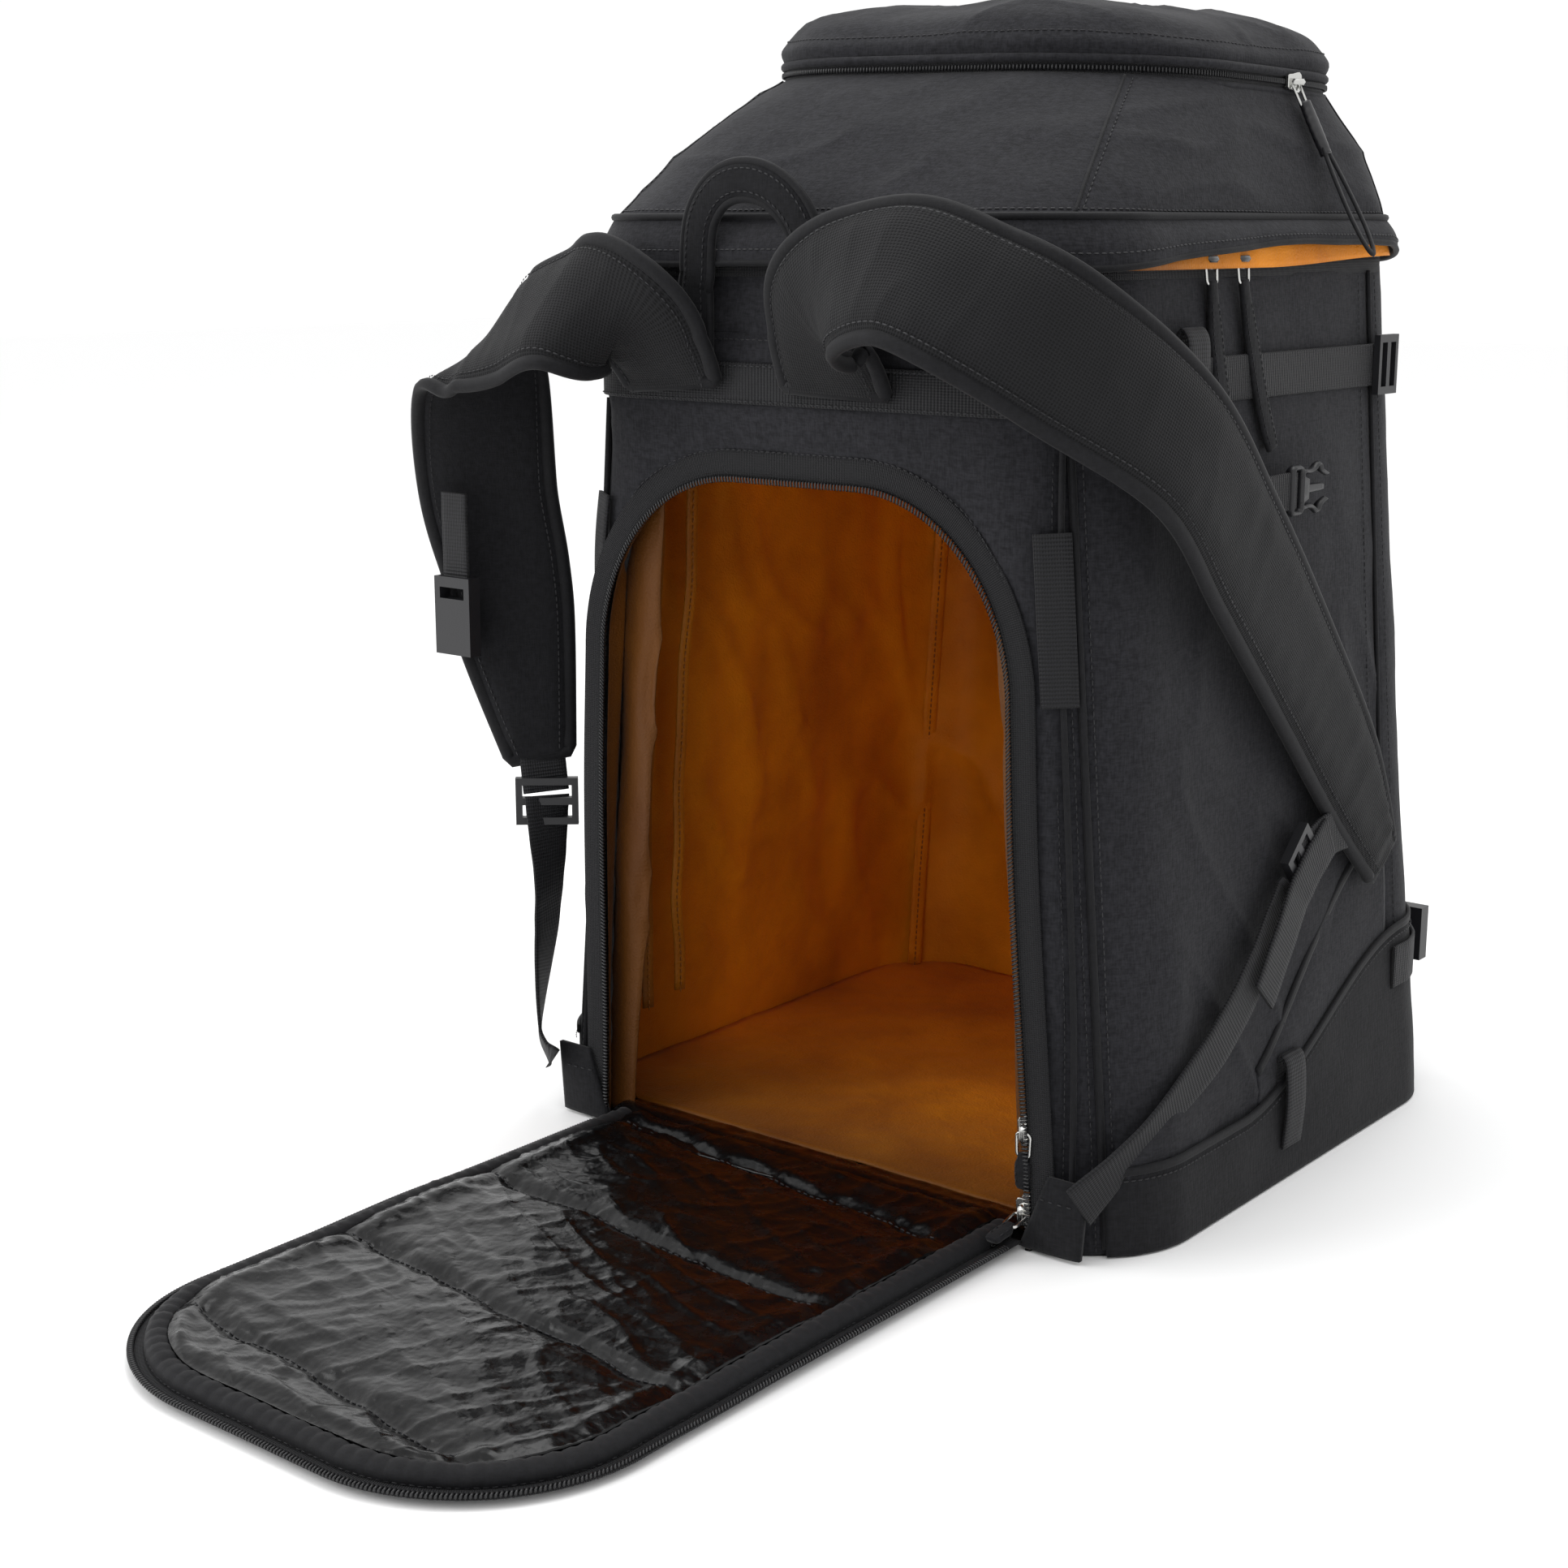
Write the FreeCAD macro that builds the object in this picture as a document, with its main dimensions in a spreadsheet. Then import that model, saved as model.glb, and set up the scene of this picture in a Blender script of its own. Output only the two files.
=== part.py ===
import FreeCAD, Part
import Sketcher
import math
import os

# Ski boot bag: a tall soft pack with a drop-down boot door in its back, a zipped lid on top,
# a pair of shoulder straps, a haul handle and zipped pockets.
# Millimetres, +Z up, origin on the floor at the middle of the base.
# The door and the straps are at -Y, the front pocket is at +Y.

drivingSizes = [
    ("baseHalfWidth", 190),     # body, half width at the floor
    ("rimHalfWidth", 152),      # body, half width at the top rim
    ("backDepth", 172),         # outer back face, behind the origin
    ("baseFront", 182),         # outer front face at the floor
    ("rimFront", 168),          # outer front face at the rim
    ("rimHeight", 460),         # top edge of the body walls
    ("cornerRadius", 56),       # upright corners of the body
    ("wallThickness", 4),       # padded side and front walls
    ("backThickness", 12),      # padded back wall
    ("baseThickness", 5),       # stiffened floor of the bag
    ("liningThickness", 1.5),   # lining cloth with its coating
    ("seamInset", 18),          # back seam, in from the side of the bag
    ("frontSeam", 110),         # seam between the side and front panels
    ("shelfGap", 5),            # from the top of the doorway up to the shelf between the bays
    ("shelfThickness", 3),
    ("doorHalfWidth", 133),     # door, to the outer edge of its zip
    ("doorLength", 364),        # door, from the hinge axis to its far end
    ("doorRadius", 86),         # door's far corners
    ("doorThickness", 12),
    ("hingeHeight", 5),         # door hinge axis above the floor
    ("pipingRadius", 4.5),      # piping that the door folds about
    ("zipGap", 2),              # between the two rows of a zip
    ("chainWidth", 6),          # one row of a zip with its tape
    ("chainThickness", 3.5),
    ("yokeDrop", 36),           # sewn band that holds the straps and handle, below the rim
    ("yokeTall", 27),
    ("yokeThickness", 8),
    ("harnessShift", -26),      # harness centre, off the middle of the bag
    ("webbingWidth", 25),
    ("webbingThickness", 2),
    ("lidBand", 24),            # lid's upright band, from the rim to its seam
    ("lidRise", 66),            # sloping part, from the seam up to the top pocket's zip
    ("lidRingInset", 26),       # that zip's ring, in from the side of the lid
    ("lidRingBackInset", 88),   # ring, in from the back of the lid
    ("lidRingFrontInset", 4),   # ring, in from the front of the lid
    ("lidRingRadius", 86),
    ("domeRise", 44),           # from the ring to the top of the dome
    ("lidWall", 3),
    ("skirtGap", 8),            # from the rim up to the hem of the flap over the lid zip
    ("pocketDepth", 18),        # front pocket, out from the front wall
    ("padWidth", 66),           # shoulder pad, edge to edge
    ("padThickness", 11),
    ("handleWidth", 88),        # haul handle, outer edge to outer edge
    ("handleRise", 87),         # above the yoke band
    ("wrapLow", 45),            # base guard, height at the back
    ("wrapHigh", 104),          # base guard, height at the front
    ("guardThickness", 1.8),
]

doc = FreeCAD.newDocument("SkiBootBag")
sheet = doc.addObject("Spreadsheet::Sheet", "sizes")
for row, (sizeName, sizeValue) in enumerate(drivingSizes, start=1):
    sheet.set(f"A{row}", sizeName)
    sheet.set(f"B{row}", str(sizeValue))
    sheet.setAlias(f"B{row}", sizeName)
doc.recompute()


# A length that carries its spreadsheet expression and its present value together.
class Size:
    def __init__(self, text, value):
        self.text = text
        self.value = float(value)

    def combine(self, sign, first, second):
        values = {
            "+": lambda a, b: a + b,
            "-": lambda a, b: a - b,
            "*": lambda a, b: a * b,
            "/": lambda a, b: a / b,
        }
        return Size(f"({first.text} {sign} {second.text})", values[sign](first.value, second.value))

    def __add__(self, other):
        return self.combine("+", self, asSize(other))

    def __radd__(self, other):
        return self.combine("+", asSize(other), self)

    def __sub__(self, other):
        return self.combine("-", self, asSize(other))

    def __rsub__(self, other):
        return self.combine("-", asSize(other), self)

    def __mul__(self, other):
        return self.combine("*", self, asSize(other))

    def __rmul__(self, other):
        return self.combine("*", asSize(other), self)

    def __truediv__(self, other):
        return self.combine("/", self, asSize(other))

    def __neg__(self):
        return self.combine("*", Size("-1", -1), self)


def asSize(amount):
    if isinstance(amount, Size):
        return amount
    return Size(f"({amount})", amount)


def size(name):
    return Size(f"sizes.{name}", sheet.get(name))


def bind(item, prop, amount):
    item.setExpression(prop, asSize(amount).text)


# solid helpers

parts = []


def keep(item, label):
    item.Label = label
    parts.append(item)
    return item


def moveTo(item, x, y, z):
    bind(item, "Placement.Base.x", x)
    bind(item, "Placement.Base.y", y)
    bind(item, "Placement.Base.z", z)


def makeBox(name, left, right, back, front, low, high):
    box = doc.addObject("Part::Box", name)
    bind(box, "Length", asSize(right) - left)
    bind(box, "Width", asSize(front) - back)
    bind(box, "Height", asSize(high) - low)
    moveTo(box, left, back, low)
    return box


turnForAxis = {
    "x": FreeCAD.Rotation(FreeCAD.Vector(0, 1, 0), 90),
    "y": FreeCAD.Rotation(FreeCAD.Vector(1, 0, 0), -90),
    "z": FreeCAD.Rotation(),
}


def makeCylinder(name, axis, radius, x, y, z, length):
    cylinder = doc.addObject("Part::Cylinder", name)
    bind(cylinder, "Radius", radius)
    bind(cylinder, "Height", length)
    cylinder.Placement = FreeCAD.Placement(FreeCAD.Vector(), turnForAxis[axis])
    moveTo(cylinder, x, y, z)
    return cylinder


def makeCut(name, base, tool):
    result = doc.addObject("Part::Cut", name)
    result.Base = base
    result.Tool = tool
    return result


def makeCommon(name, first, second):
    result = doc.addObject("Part::Common", name)
    result.Base = first
    result.Tool = second
    return result


def makeFuse(name, *items):
    result = doc.addObject("Part::MultiFuse", name)
    result.Shapes = list(items)
    return result


def makeGroup(name, *items):
    result = doc.addObject("Part::Compound", name)
    result.Links = list(items)
    return result


def originPlane(body, role):
    for feature in body.Origin.OriginFeatures:
        if feature.Role == role:
            return feature
    raise ValueError(f"no origin plane called {role}")


def newSketch(body, name, role, offset=0):
    sketch = body.newObject("Sketcher::SketchObject", name)
    sketch.AttachmentSupport = (originPlane(body, role), [""])
    sketch.MapMode = "FlatFace"
    bind(sketch, "AttachmentOffset.Base.z", offset)
    return sketch


def vector(u, v):
    return FreeCAD.Vector(asSize(u).value, asSize(v).value, 0)


# Hold one end of a line at a signed distance from the sketch origin.
def pinEnd(sketch, line, end, kind, amount):
    amount = asSize(amount)
    if amount.value >= 0:
        rule = Sketcher.Constraint(kind, -1, 1, line, end, amount.value)
    else:
        rule = Sketcher.Constraint(kind, line, end, -1, 1, -amount.value)
        amount = -amount
    index = sketch.addConstraint(rule)
    sketch.setExpression(f"Constraints[{index}]", amount.text)


# Closed outline of straight lines through the given corners.
def drawPolygon(sketch, corners):
    count = len(corners)
    for index in range(count):
        start = vector(*corners[index])
        end = vector(*corners[(index + 1) % count])
        sketch.addGeometry(Part.LineSegment(start, end), False)
    for index in range(count):
        sketch.addConstraint(Sketcher.Constraint("Coincident", index, 2, (index + 1) % count, 1))
    for index, (u, v) in enumerate(corners):
        pinEnd(sketch, index, 1, "DistanceX", u)
        pinEnd(sketch, index, 1, "DistanceY", v)


# Rectangle with four rounded corners. Lines are 0, 2, 4, 6 and corner arcs are 1, 3, 5, 7.
def drawRounded(sketch, left, right, near, far, radius):
    left, right, near, far, radius = [asSize(item) for item in (left, right, near, far, radius)]
    inLeft = left + radius
    inRight = right - radius
    inNear = near + radius
    inFar = far - radius
    sides = [
        (vector(inLeft, near), vector(inRight, near), (inRight, inNear, -90)),
        (vector(right, inNear), vector(right, inFar), (inRight, inFar, 0)),
        (vector(inRight, far), vector(inLeft, far), (inLeft, inFar, 90)),
        (vector(left, inFar), vector(left, inNear), (inLeft, inNear, 180)),
    ]
    for start, end, (centreU, centreV, startAngle) in sides:
        sketch.addGeometry(Part.LineSegment(start, end), False)
        circle = Part.Circle(vector(centreU, centreV), FreeCAD.Vector(0, 0, 1), radius.value)
        first = math.radians(startAngle)
        sketch.addGeometry(Part.ArcOfCircle(circle, first, first + math.pi / 2), False)
    for line in (0, 2, 4, 6):
        sketch.addConstraint(Sketcher.Constraint("Tangent", line, 2, line + 1, 1))
        sketch.addConstraint(Sketcher.Constraint("Tangent", line + 1, 2, (line + 2) % 8, 1))
    for line, kind in ((0, "Horizontal"), (2, "Vertical"), (4, "Horizontal"), (6, "Vertical")):
        sketch.addConstraint(Sketcher.Constraint(kind, line))
    for arc in (3, 5, 7):
        sketch.addConstraint(Sketcher.Constraint("Equal", 1, arc))
    index = sketch.addConstraint(Sketcher.Constraint("Radius", 1, radius.value))
    sketch.setExpression(f"Constraints[{index}]", radius.text)
    pinEnd(sketch, 0, 1, "DistanceY", near)
    pinEnd(sketch, 2, 1, "DistanceX", right)
    pinEnd(sketch, 4, 1, "DistanceY", far)
    pinEnd(sketch, 6, 1, "DistanceX", left)


# Door shape: a square near end and two rounded far corners.
def drawArch(sketch, halfWidth, near, far, radius):
    halfWidth, near, far, radius = [asSize(item) for item in (halfWidth, near, far, radius)]
    side = 1 if far.value > near.value else -1
    inFar = far - side * radius
    inHalf = halfWidth - radius
    sketch.addGeometry(Part.LineSegment(vector(-halfWidth, near), vector(halfWidth, near)), False)
    sketch.addGeometry(Part.LineSegment(vector(halfWidth, near), vector(halfWidth, inFar)), False)
    sketch.addGeometry(Part.LineSegment(vector(inHalf, far), vector(-inHalf, far)), False)
    sketch.addGeometry(Part.LineSegment(vector(-halfWidth, inFar), vector(-halfWidth, near)), False)
    upright = FreeCAD.Vector(0, 0, 1)
    quarter = math.pi / 2
    for centre, right in ((inHalf, True), (-inHalf, False)):
        start = 0 if right else quarter
        if side < 0:
            start = -quarter if right else 2 * quarter
        circle = Part.Circle(vector(centre, inFar), upright, radius.value)
        sketch.addGeometry(Part.ArcOfCircle(circle, start, start + quarter), False)
    # the ends of an arc run anticlockwise, so they swap over when the far end points down
    arcStart, arcEnd = (1, 2) if side > 0 else (2, 1)
    sketch.addConstraint(Sketcher.Constraint("Coincident", 0, 2, 1, 1))
    sketch.addConstraint(Sketcher.Constraint("Tangent", 1, 2, 4, arcStart))
    sketch.addConstraint(Sketcher.Constraint("Tangent", 4, arcEnd, 2, 1))
    sketch.addConstraint(Sketcher.Constraint("Tangent", 2, 2, 5, arcStart))
    sketch.addConstraint(Sketcher.Constraint("Tangent", 5, arcEnd, 3, 1))
    sketch.addConstraint(Sketcher.Constraint("Coincident", 3, 2, 0, 1))
    sketch.addConstraint(Sketcher.Constraint("Horizontal", 0))
    sketch.addConstraint(Sketcher.Constraint("Vertical", 1))
    sketch.addConstraint(Sketcher.Constraint("Vertical", 3))
    sketch.addConstraint(Sketcher.Constraint("Equal", 4, 5))
    index = sketch.addConstraint(Sketcher.Constraint("Radius", 4, radius.value))
    sketch.setExpression(f"Constraints[{index}]", radius.text)
    pinEnd(sketch, 0, 1, "DistanceY", near)
    pinEnd(sketch, 1, 1, "DistanceX", halfWidth)
    pinEnd(sketch, 3, 1, "DistanceX", -halfWidth)
    pinEnd(sketch, 2, 1, "DistanceY", far)


def padSketch(body, sketch, length, midplane=False):
    pad = body.newObject("PartDesign::Pad", "Pad")
    pad.Profile = sketch
    bind(pad, "Length", length)
    if midplane:
        pad.SideType = "Symmetric"
    return pad


# Solid with a door-shaped outline, flat on the floor side of the given height.
def makeArchPlate(name, halfWidth, near, far, radius, low, high):
    body = doc.addObject("PartDesign::Body", name)
    sketch = newSketch(body, name + "Outline", "XY_Plane", low)
    drawArch(sketch, halfWidth, near, far, radius)
    padSketch(body, sketch, asSize(high) - low)
    return body


# Upright cutter with a door-shaped outline, long enough to pass through the back.
def makeArchTunnel(name, halfWidth, low, high, radius):
    body = doc.addObject("PartDesign::Body", name)
    sketch = newSketch(body, name + "Outline", "XZ_Plane", back - 40)
    drawArch(sketch, halfWidth, low, high, radius)
    padSketch(body, sketch, 80, midplane=True)
    return body


# Solid skinned over two or more rounded outlines, each (left, right, near, far, radius, height).
def makeLoft(name, outlines):
    body = doc.addObject("PartDesign::Body", name)
    sketches = []
    for number, (left, right, near, far, radius, height) in enumerate(outlines):
        sketch = newSketch(body, f"{name}Outline{number}", "XY_Plane", height)
        drawRounded(sketch, left, right, near, far, radius)
        sketches.append(sketch)
    loft = body.newObject("PartDesign::AdditiveLoft", name + "Skin")
    loft.Profile = sketches[0]
    loft.Sections = sketches[1:]
    loft.Ruled = True
    return body


# Solid with a straight-sided outline in the upright Y-Z plane, running right across the bag.
def makeSideCutter(name, corners):
    body = doc.addObject("PartDesign::Body", name)
    sketch = newSketch(body, name + "Outline", "YZ_Plane")
    drawPolygon(sketch, corners)
    padSketch(body, sketch, 4 * size("baseHalfWidth"), midplane=True)
    return body


# body of the bag

back = size("backDepth")
rimHeight = size("rimHeight")
wall = size("wallThickness")
lining = size("liningThickness")
far = 2 * size("baseHalfWidth")     # well outside the bag, for cutters


def halfWidthAt(height):
    spread = size("baseHalfWidth") - size("rimHalfWidth")
    return size("baseHalfWidth") - spread * height / rimHeight


def frontAt(height):
    spread = size("baseFront") - size("rimFront")
    return size("baseFront") - spread * height / rimHeight


# The tapering body form between two heights, grown outwards by the given amounts.
def bodyOutline(height, grow, growBack):
    halfWidth = halfWidthAt(height) + grow
    radius = size("cornerRadius") + grow
    return (-halfWidth, halfWidth, -back - growBack, frontAt(height) + grow, radius, height)


def makeForm(name, low, high, grow=0, growBack=None):
    low = asSize(low)
    high = asSize(high)
    grow = asSize(grow)
    growBack = grow if growBack is None else asSize(growBack)
    return makeLoft(name, [bodyOutline(low, grow, growBack), bodyOutline(high, grow, growBack)])


# A skin of the given thickness, lying on the body walls between two heights.
def makeSkin(name, low, high, inner, outer):
    outside = makeForm(name + "Outside", low, high, outer)
    inside = makeForm(name + "Inside", low, high, inner)
    return makeCut(name, outside, inside)


outerForm = makeForm("OuterForm", 0, rimHeight)
innerForm = makeForm("InnerForm", 0, rimHeight, -wall, -size("backThickness"))
walls = makeCut("Walls", outerForm, innerForm)

# the back region is bounded by two leaning seams
backRegion = doc.addObject("Part::Wedge", "BackRegion")
seamLow = size("baseHalfWidth") - size("seamInset")
seamHigh = size("rimHalfWidth") - size("seamInset")
for prop, amount in (
    ("Xmin", -seamLow), ("Xmax", seamLow), ("X2min", -seamHigh), ("X2max", seamHigh),
    ("Ymin", 0), ("Ymax", rimHeight),
    ("Zmin", back - size("cornerRadius")), ("Zmax", back + 1),
    ("Z2min", back - size("cornerRadius")), ("Z2max", back + 1),
):
    bind(backRegion, prop, amount)
# the wedge tapers along its own Y, so stand it up and turn its Z towards the back
wedgeTurn = FreeCAD.Rotation(
    FreeCAD.Vector(1, 0, 0), FreeCAD.Vector(0, 0, 1), FreeCAD.Vector(0, -1, 0), "XYZ"
)
backRegion.Placement = FreeCAD.Placement(FreeCAD.Vector(), wedgeTurn)

# door opening, with room for both rows of the zip
doorHalf = size("doorHalfWidth")
doorTop = size("hingeHeight") + size("doorLength")
frameGrow = size("zipGap") + size("chainWidth")
doorwayHalf = doorHalf + frameGrow
doorwayRadius = size("doorRadius") + frameGrow
doorway = makeArchTunnel("Doorway", doorwayHalf, -1, doorTop + frameGrow, doorwayRadius)

keep(makeCut("BackPanel", makeCommon("BackWall", walls, backRegion), doorway), "back_panel")

sideWalls = makeCut("SideWalls", walls, backRegion)
for side, left, right in (("right", 0, far), ("left", -far, 0)):
    region = makeBox(f"SideRegion_{side}", left, right, -far, size("frontSeam"), 0, rimHeight)
    keep(makeCommon(f"SidePanel_{side}", sideWalls, region), f"side_panel_{side}")

# lid hinge: piping along the straight front edge
lidPipingRadius = 3
lidHingeY = size("rimFront") - 2
lidHingeZ = rimHeight + lidPipingRadius / 2
lidPipingHalf = size("rimHalfWidth") - size("cornerRadius")
lidPiping = makeCylinder(
    "LidPiping", "x", lidPipingRadius, -lidPipingHalf, lidHingeY, lidHingeZ, 2 * lidPipingHalf
)
keep(lidPiping, "lid_hinge_piping")
frontRegion = makeBox("FrontRegion", -far, far, size("frontSeam"), far, 0, rimHeight)
frontWall = makeCommon("FrontWall", walls, frontRegion)
keep(makeCut("FrontPanel", frontWall, lidPiping), "front_panel")

# door hinge: piping along the bottom of the doorway
doorHingeY = -back + size("hingeHeight")
doorHingeZ = size("hingeHeight")
doorPiping = makeCylinder(
    "DoorPiping", "x", size("pipingRadius"), -doorHalf, doorHingeY, doorHingeZ, 2 * doorHalf
)
keep(doorPiping, "door_hinge_piping")

# the floor reaches back to the hinge piping and is hollowed to fit it
floorForm = makeForm("FloorForm", 0, size("baseThickness"), -wall, -size("backThickness"))
floorLip = makeBox(
    "FloorLip", -doorHalf, doorHalf, doorHingeY, -back + size("backThickness") + 1, 0, size("baseThickness")
)
floorWhole = makeFuse("FloorWhole", floorForm, floorLip)
keep(makeCut("BasePanel", floorWhole, doorPiping), "base_panel")

# shelf between the boot bay and the top bay
shelfHeight = doorTop + frameGrow + size("shelfGap")
shelfTop = shelfHeight + size("shelfThickness")
keep(makeForm("Shelf", shelfHeight, shelfTop, -wall, -size("backThickness")), "divider_shelf")

# linings hang inside the walls, one in each bay
def makeLining(name, low, high):
    outside = makeForm(name + "Outside", low, high, -wall, -size("backThickness"))
    inside = makeForm(name + "Inside", low, high, -wall - lining, -size("backThickness") - lining)
    return makeCut(name, outside, inside)


bootLining = makeLining("BootLining", size("baseThickness"), shelfHeight)
keep(makeCut("BootBayLining", bootLining, doorway), "boot_bay_lining")
keep(makeLining("TopBayLining", shelfTop, rimHeight - 1), "top_bay_lining")

# zips

chainHalf = size("chainThickness") / 2
chainWidth = size("chainWidth")
zipGap = size("zipGap")

# door zip, frame side: the rows lie on top of the door's cloth, which sets their depth
chainLow = 2.5                  # thickness of the door's own cloth and stiffener
frameChainBack = -back + chainLow
frameChainStart = 10.5          # just above the hinge piping
frameChainBlank = makeArchTunnel(
    "FrameChainBlank", doorwayHalf, frameChainStart, doorTop + frameGrow, doorwayRadius
)
frameChainHole = makeArchTunnel(
    "FrameChainHole", doorHalf + zipGap, 0, doorTop + zipGap, size("doorRadius") + zipGap
)
frameChainSlab = makeBox(
    "FrameChainSlab", -far, far, frameChainBack, frameChainBack + size("chainThickness"), 0, far
)
frameChainRing = makeCut("FrameChainRing", frameChainBlank, frameChainHole)
keep(makeCommon("DoorZipFrame", frameChainRing, frameChainSlab), "door_zip_frame_row")

# lid zip: one row stands on the rim, the other hangs from the lid
lidZipFront = size("frontSeam") + 40    # where the lid zip stops, short of the hinge
lidRowTall = 4
rimRowHigh = rimHeight + lidRowTall + 0.2
lidRowLow = rimRowHigh + 2.5
lidRowHigh = lidRowLow + lidRowTall
zipRegion = makeBox("ZipRegion", -far, far, -far, lidZipFront, rimHeight, far + rimHeight)


def makeUprightBand(name, low, high, inner, outer):
    left, right, near, front, radius, height = bodyOutline(rimHeight, asSize(0), asSize(0))
    rings = []
    for suffix, grow in (("Outside", outer), ("Inside", inner)):
        ends = [
            (left - grow, right + grow, near - grow, front + grow, radius + grow, level)
            for level in (low, high)
        ]
        rings.append(makeLoft(name + suffix, ends))
    return makeCut(name, rings[0], rings[1])


rimRow = makeUprightBand("RimRow", rimHeight, rimRowHigh, -size("chainThickness"), 0)
keep(makeCommon("RimZipRow", rimRow, zipRegion), "lid_zip_rim_row")
lidRow = makeUprightBand("LidRow", lidRowLow, lidRowHigh, -size("chainThickness"), 0)
keep(makeCommon("LidZipRow", lidRow, zipRegion), "lid_zip_lid_row")

# door, lying open on the floor

doorNear = doorHingeY - size("pipingRadius") - 1
doorFar = doorHingeY - size("doorLength")
doorBinding = 12                # width of the rolled edge
rowInset = chainWidth
bindingInset = rowInset + doorBinding


def makeDoorPlate(name, inset, low, high, near=doorNear):
    return makeArchPlate(
        name, doorHalf - inset, near, doorFar + inset, size("doorRadius") - inset, low, high
    )


chainHigh = chainLow + size("chainThickness")
keep(makeDoorPlate("DoorPanel", rowInset, 0, chainLow), "door_panel")
# the row stops short of the hinge, where the parked sliders stand
parkedLength = 50
doorRowNear = doorHingeY - parkedLength
doorRowOuter = makeDoorPlate("DoorRowOuter", asSize(0), chainLow, chainHigh, doorRowNear)
doorRowInner = makeDoorPlate("DoorRowInner", rowInset, chainLow, chainHigh)
keep(makeCut("DoorZipRow", doorRowOuter, doorRowInner), "door_zip_door_row")
bindingOuter = makeDoorPlate("BindingOuter", rowInset, chainLow, size("doorThickness"))
bindingInner = makeDoorPlate("BindingInner", bindingInset, chainLow, size("doorThickness"))
keep(makeCut("DoorBinding", bindingOuter, bindingInner), "door_binding")
matThickness = 3
matHigh = size("doorThickness") - 1
foamHigh = matHigh - matThickness
keep(makeDoorPlate("DoorFoam", bindingInset, chainLow, foamHigh), "door_foam")
keep(makeDoorPlate("DoorMat", bindingInset, foamHigh, matHigh), "door_mat")

# lid

lidWall = size("lidWall")
seamHeight = rimHeight + size("lidBand")
ringHeight = seamHeight + size("lidRise")
ringHalf = size("rimHalfWidth") - size("lidRingInset")
ringBack = back - size("lidRingBackInset")
ringFront = size("rimFront") - size("lidRingFrontInset")
lidFrontLow = rimHeight + 2 * lidPipingRadius


def lidOutline(stage, grow):
    if stage == "band":
        left, right, near, front, radius, height = bodyOutline(rimHeight, asSize(0), asSize(0))
    else:
        left, right = -ringHalf, ringHalf
        near, front = -ringBack, ringFront
        radius = size("lidRingRadius")
    return (left - grow, right + grow, near - grow, front + grow, radius + grow)


def makeLidSolid(name, grow, low, high):
    band = lidOutline("band", grow)
    ring = lidOutline("ring", grow)
    return makeLoft(name, [band + (low,), band + (seamHeight,), ring + (high,)])


lidShell = makeCut(
    "LidShell",
    makeLidSolid("LidOutside", asSize(0), lidFrontLow, ringHeight),
    makeLidSolid("LidInside", -lidWall, lidFrontLow, ringHeight),
)
rowClear = makeBox("RowClear", -far, far, -far, lidZipFront, rimHeight, lidRowHigh)
keep(makeCut("LidWall", lidShell, rowClear), "lid_wall")

# flap over the zip, on the back and the sides only
skirtInner = 6.2                # clear of the sliders that run beneath it
skirtOuter = skirtInner + 2
skirtRootLow = seamHeight - 3
skirt = makeUprightBand(
    "Skirt", rimHeight + size("skirtGap"), skirtRootLow, skirtInner, skirtOuter
)
skirtRoot = makeUprightBand("SkirtRoot", skirtRootLow, seamHeight, 0, skirtOuter)
skirtWhole = makeFuse("SkirtWhole", skirt, skirtRoot)
keep(makeCommon("LidSkirt", skirtWhole, zipRegion), "lid_skirt")

# domed top panel of the lid pocket
domeMid = ringHeight + 28
domeTop = ringHeight + size("domeRise")
domeMidInset = 16
domeTopInset = 52


def makeDome(name, drop, grow):
    left, right, near, front, radius = lidOutline("ring", grow)
    rings = ((0, ringHeight), (domeMidInset, domeMid - drop), (domeTopInset, domeTop - drop))
    levels = []
    for inset, level in rings:
        levels.append(
            (left + inset, right - inset, near + inset, front - inset, radius - inset, level)
        )
    return makeLoft(name, levels)


domeOutside = makeDome("DomeOutside", 0, asSize(0))
domeInside = makeDome("DomeInside", lidWall, -lidWall)
keep(makeCut("LidTop", domeOutside, domeInside), "lid_top_panel")

# zip round the dome: both its rows and the tape between them
ringZipThick = 2.6


def makeRingBand(name, grow, low, high):
    outline = lidOutline("ring", asSize(grow))
    return makeLoft(name, [outline + (ringHeight + low,), outline + (ringHeight + high,)])


ringZip = makeCut(
    "RingZip",
    makeRingBand("RingZipOutside", ringZipThick, -2, 3),
    makeRingBand("RingZipInside", 0, -3, 4),
)
lidSolid = makeLidSolid("LidSolidForZip", asSize(0), lidFrontLow, ringHeight)
keep(makeCut("LidPocketZip", ringZip, lidSolid), "lid_pocket_zip")

# harness

yokeHigh = rimHeight - size("yokeDrop")
yokeLow = yokeHigh - size("yokeTall")
yokeFace = -back - size("yokeThickness")
harness = size("harnessShift")
yokeHalf = size("rimHalfWidth") - size("seamInset")
keep(makeBox("Yoke", -yokeHalf, yokeHalf, yokeFace, -back, yokeLow, yokeHigh), "yoke_band")

# haul handle: a flat loop standing on the yoke, clear of the lid's flap
handleHalf = size("handleWidth") / 2
handleBand = 18
handleThick = 3
handleFlat = 12                 # straight length left across the top of the loop
handleLow = yokeHigh + 0.5
handleBack = yokeFace - 4.5     # its back face, standing off the yoke


def makeHandleLoop(name, inset, depth, low):
    body = doc.addObject("PartDesign::Body", name)
    sketch = newSketch(body, name + "Outline", "XZ_Plane", -(handleBack + handleThick / 2))
    radius = handleHalf - handleFlat / 2 - inset
    drawArch(sketch, handleHalf - inset, low, yokeHigh + size("handleRise") - inset, radius)
    padSketch(body, sketch, depth, midplane=True)
    return body


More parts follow.
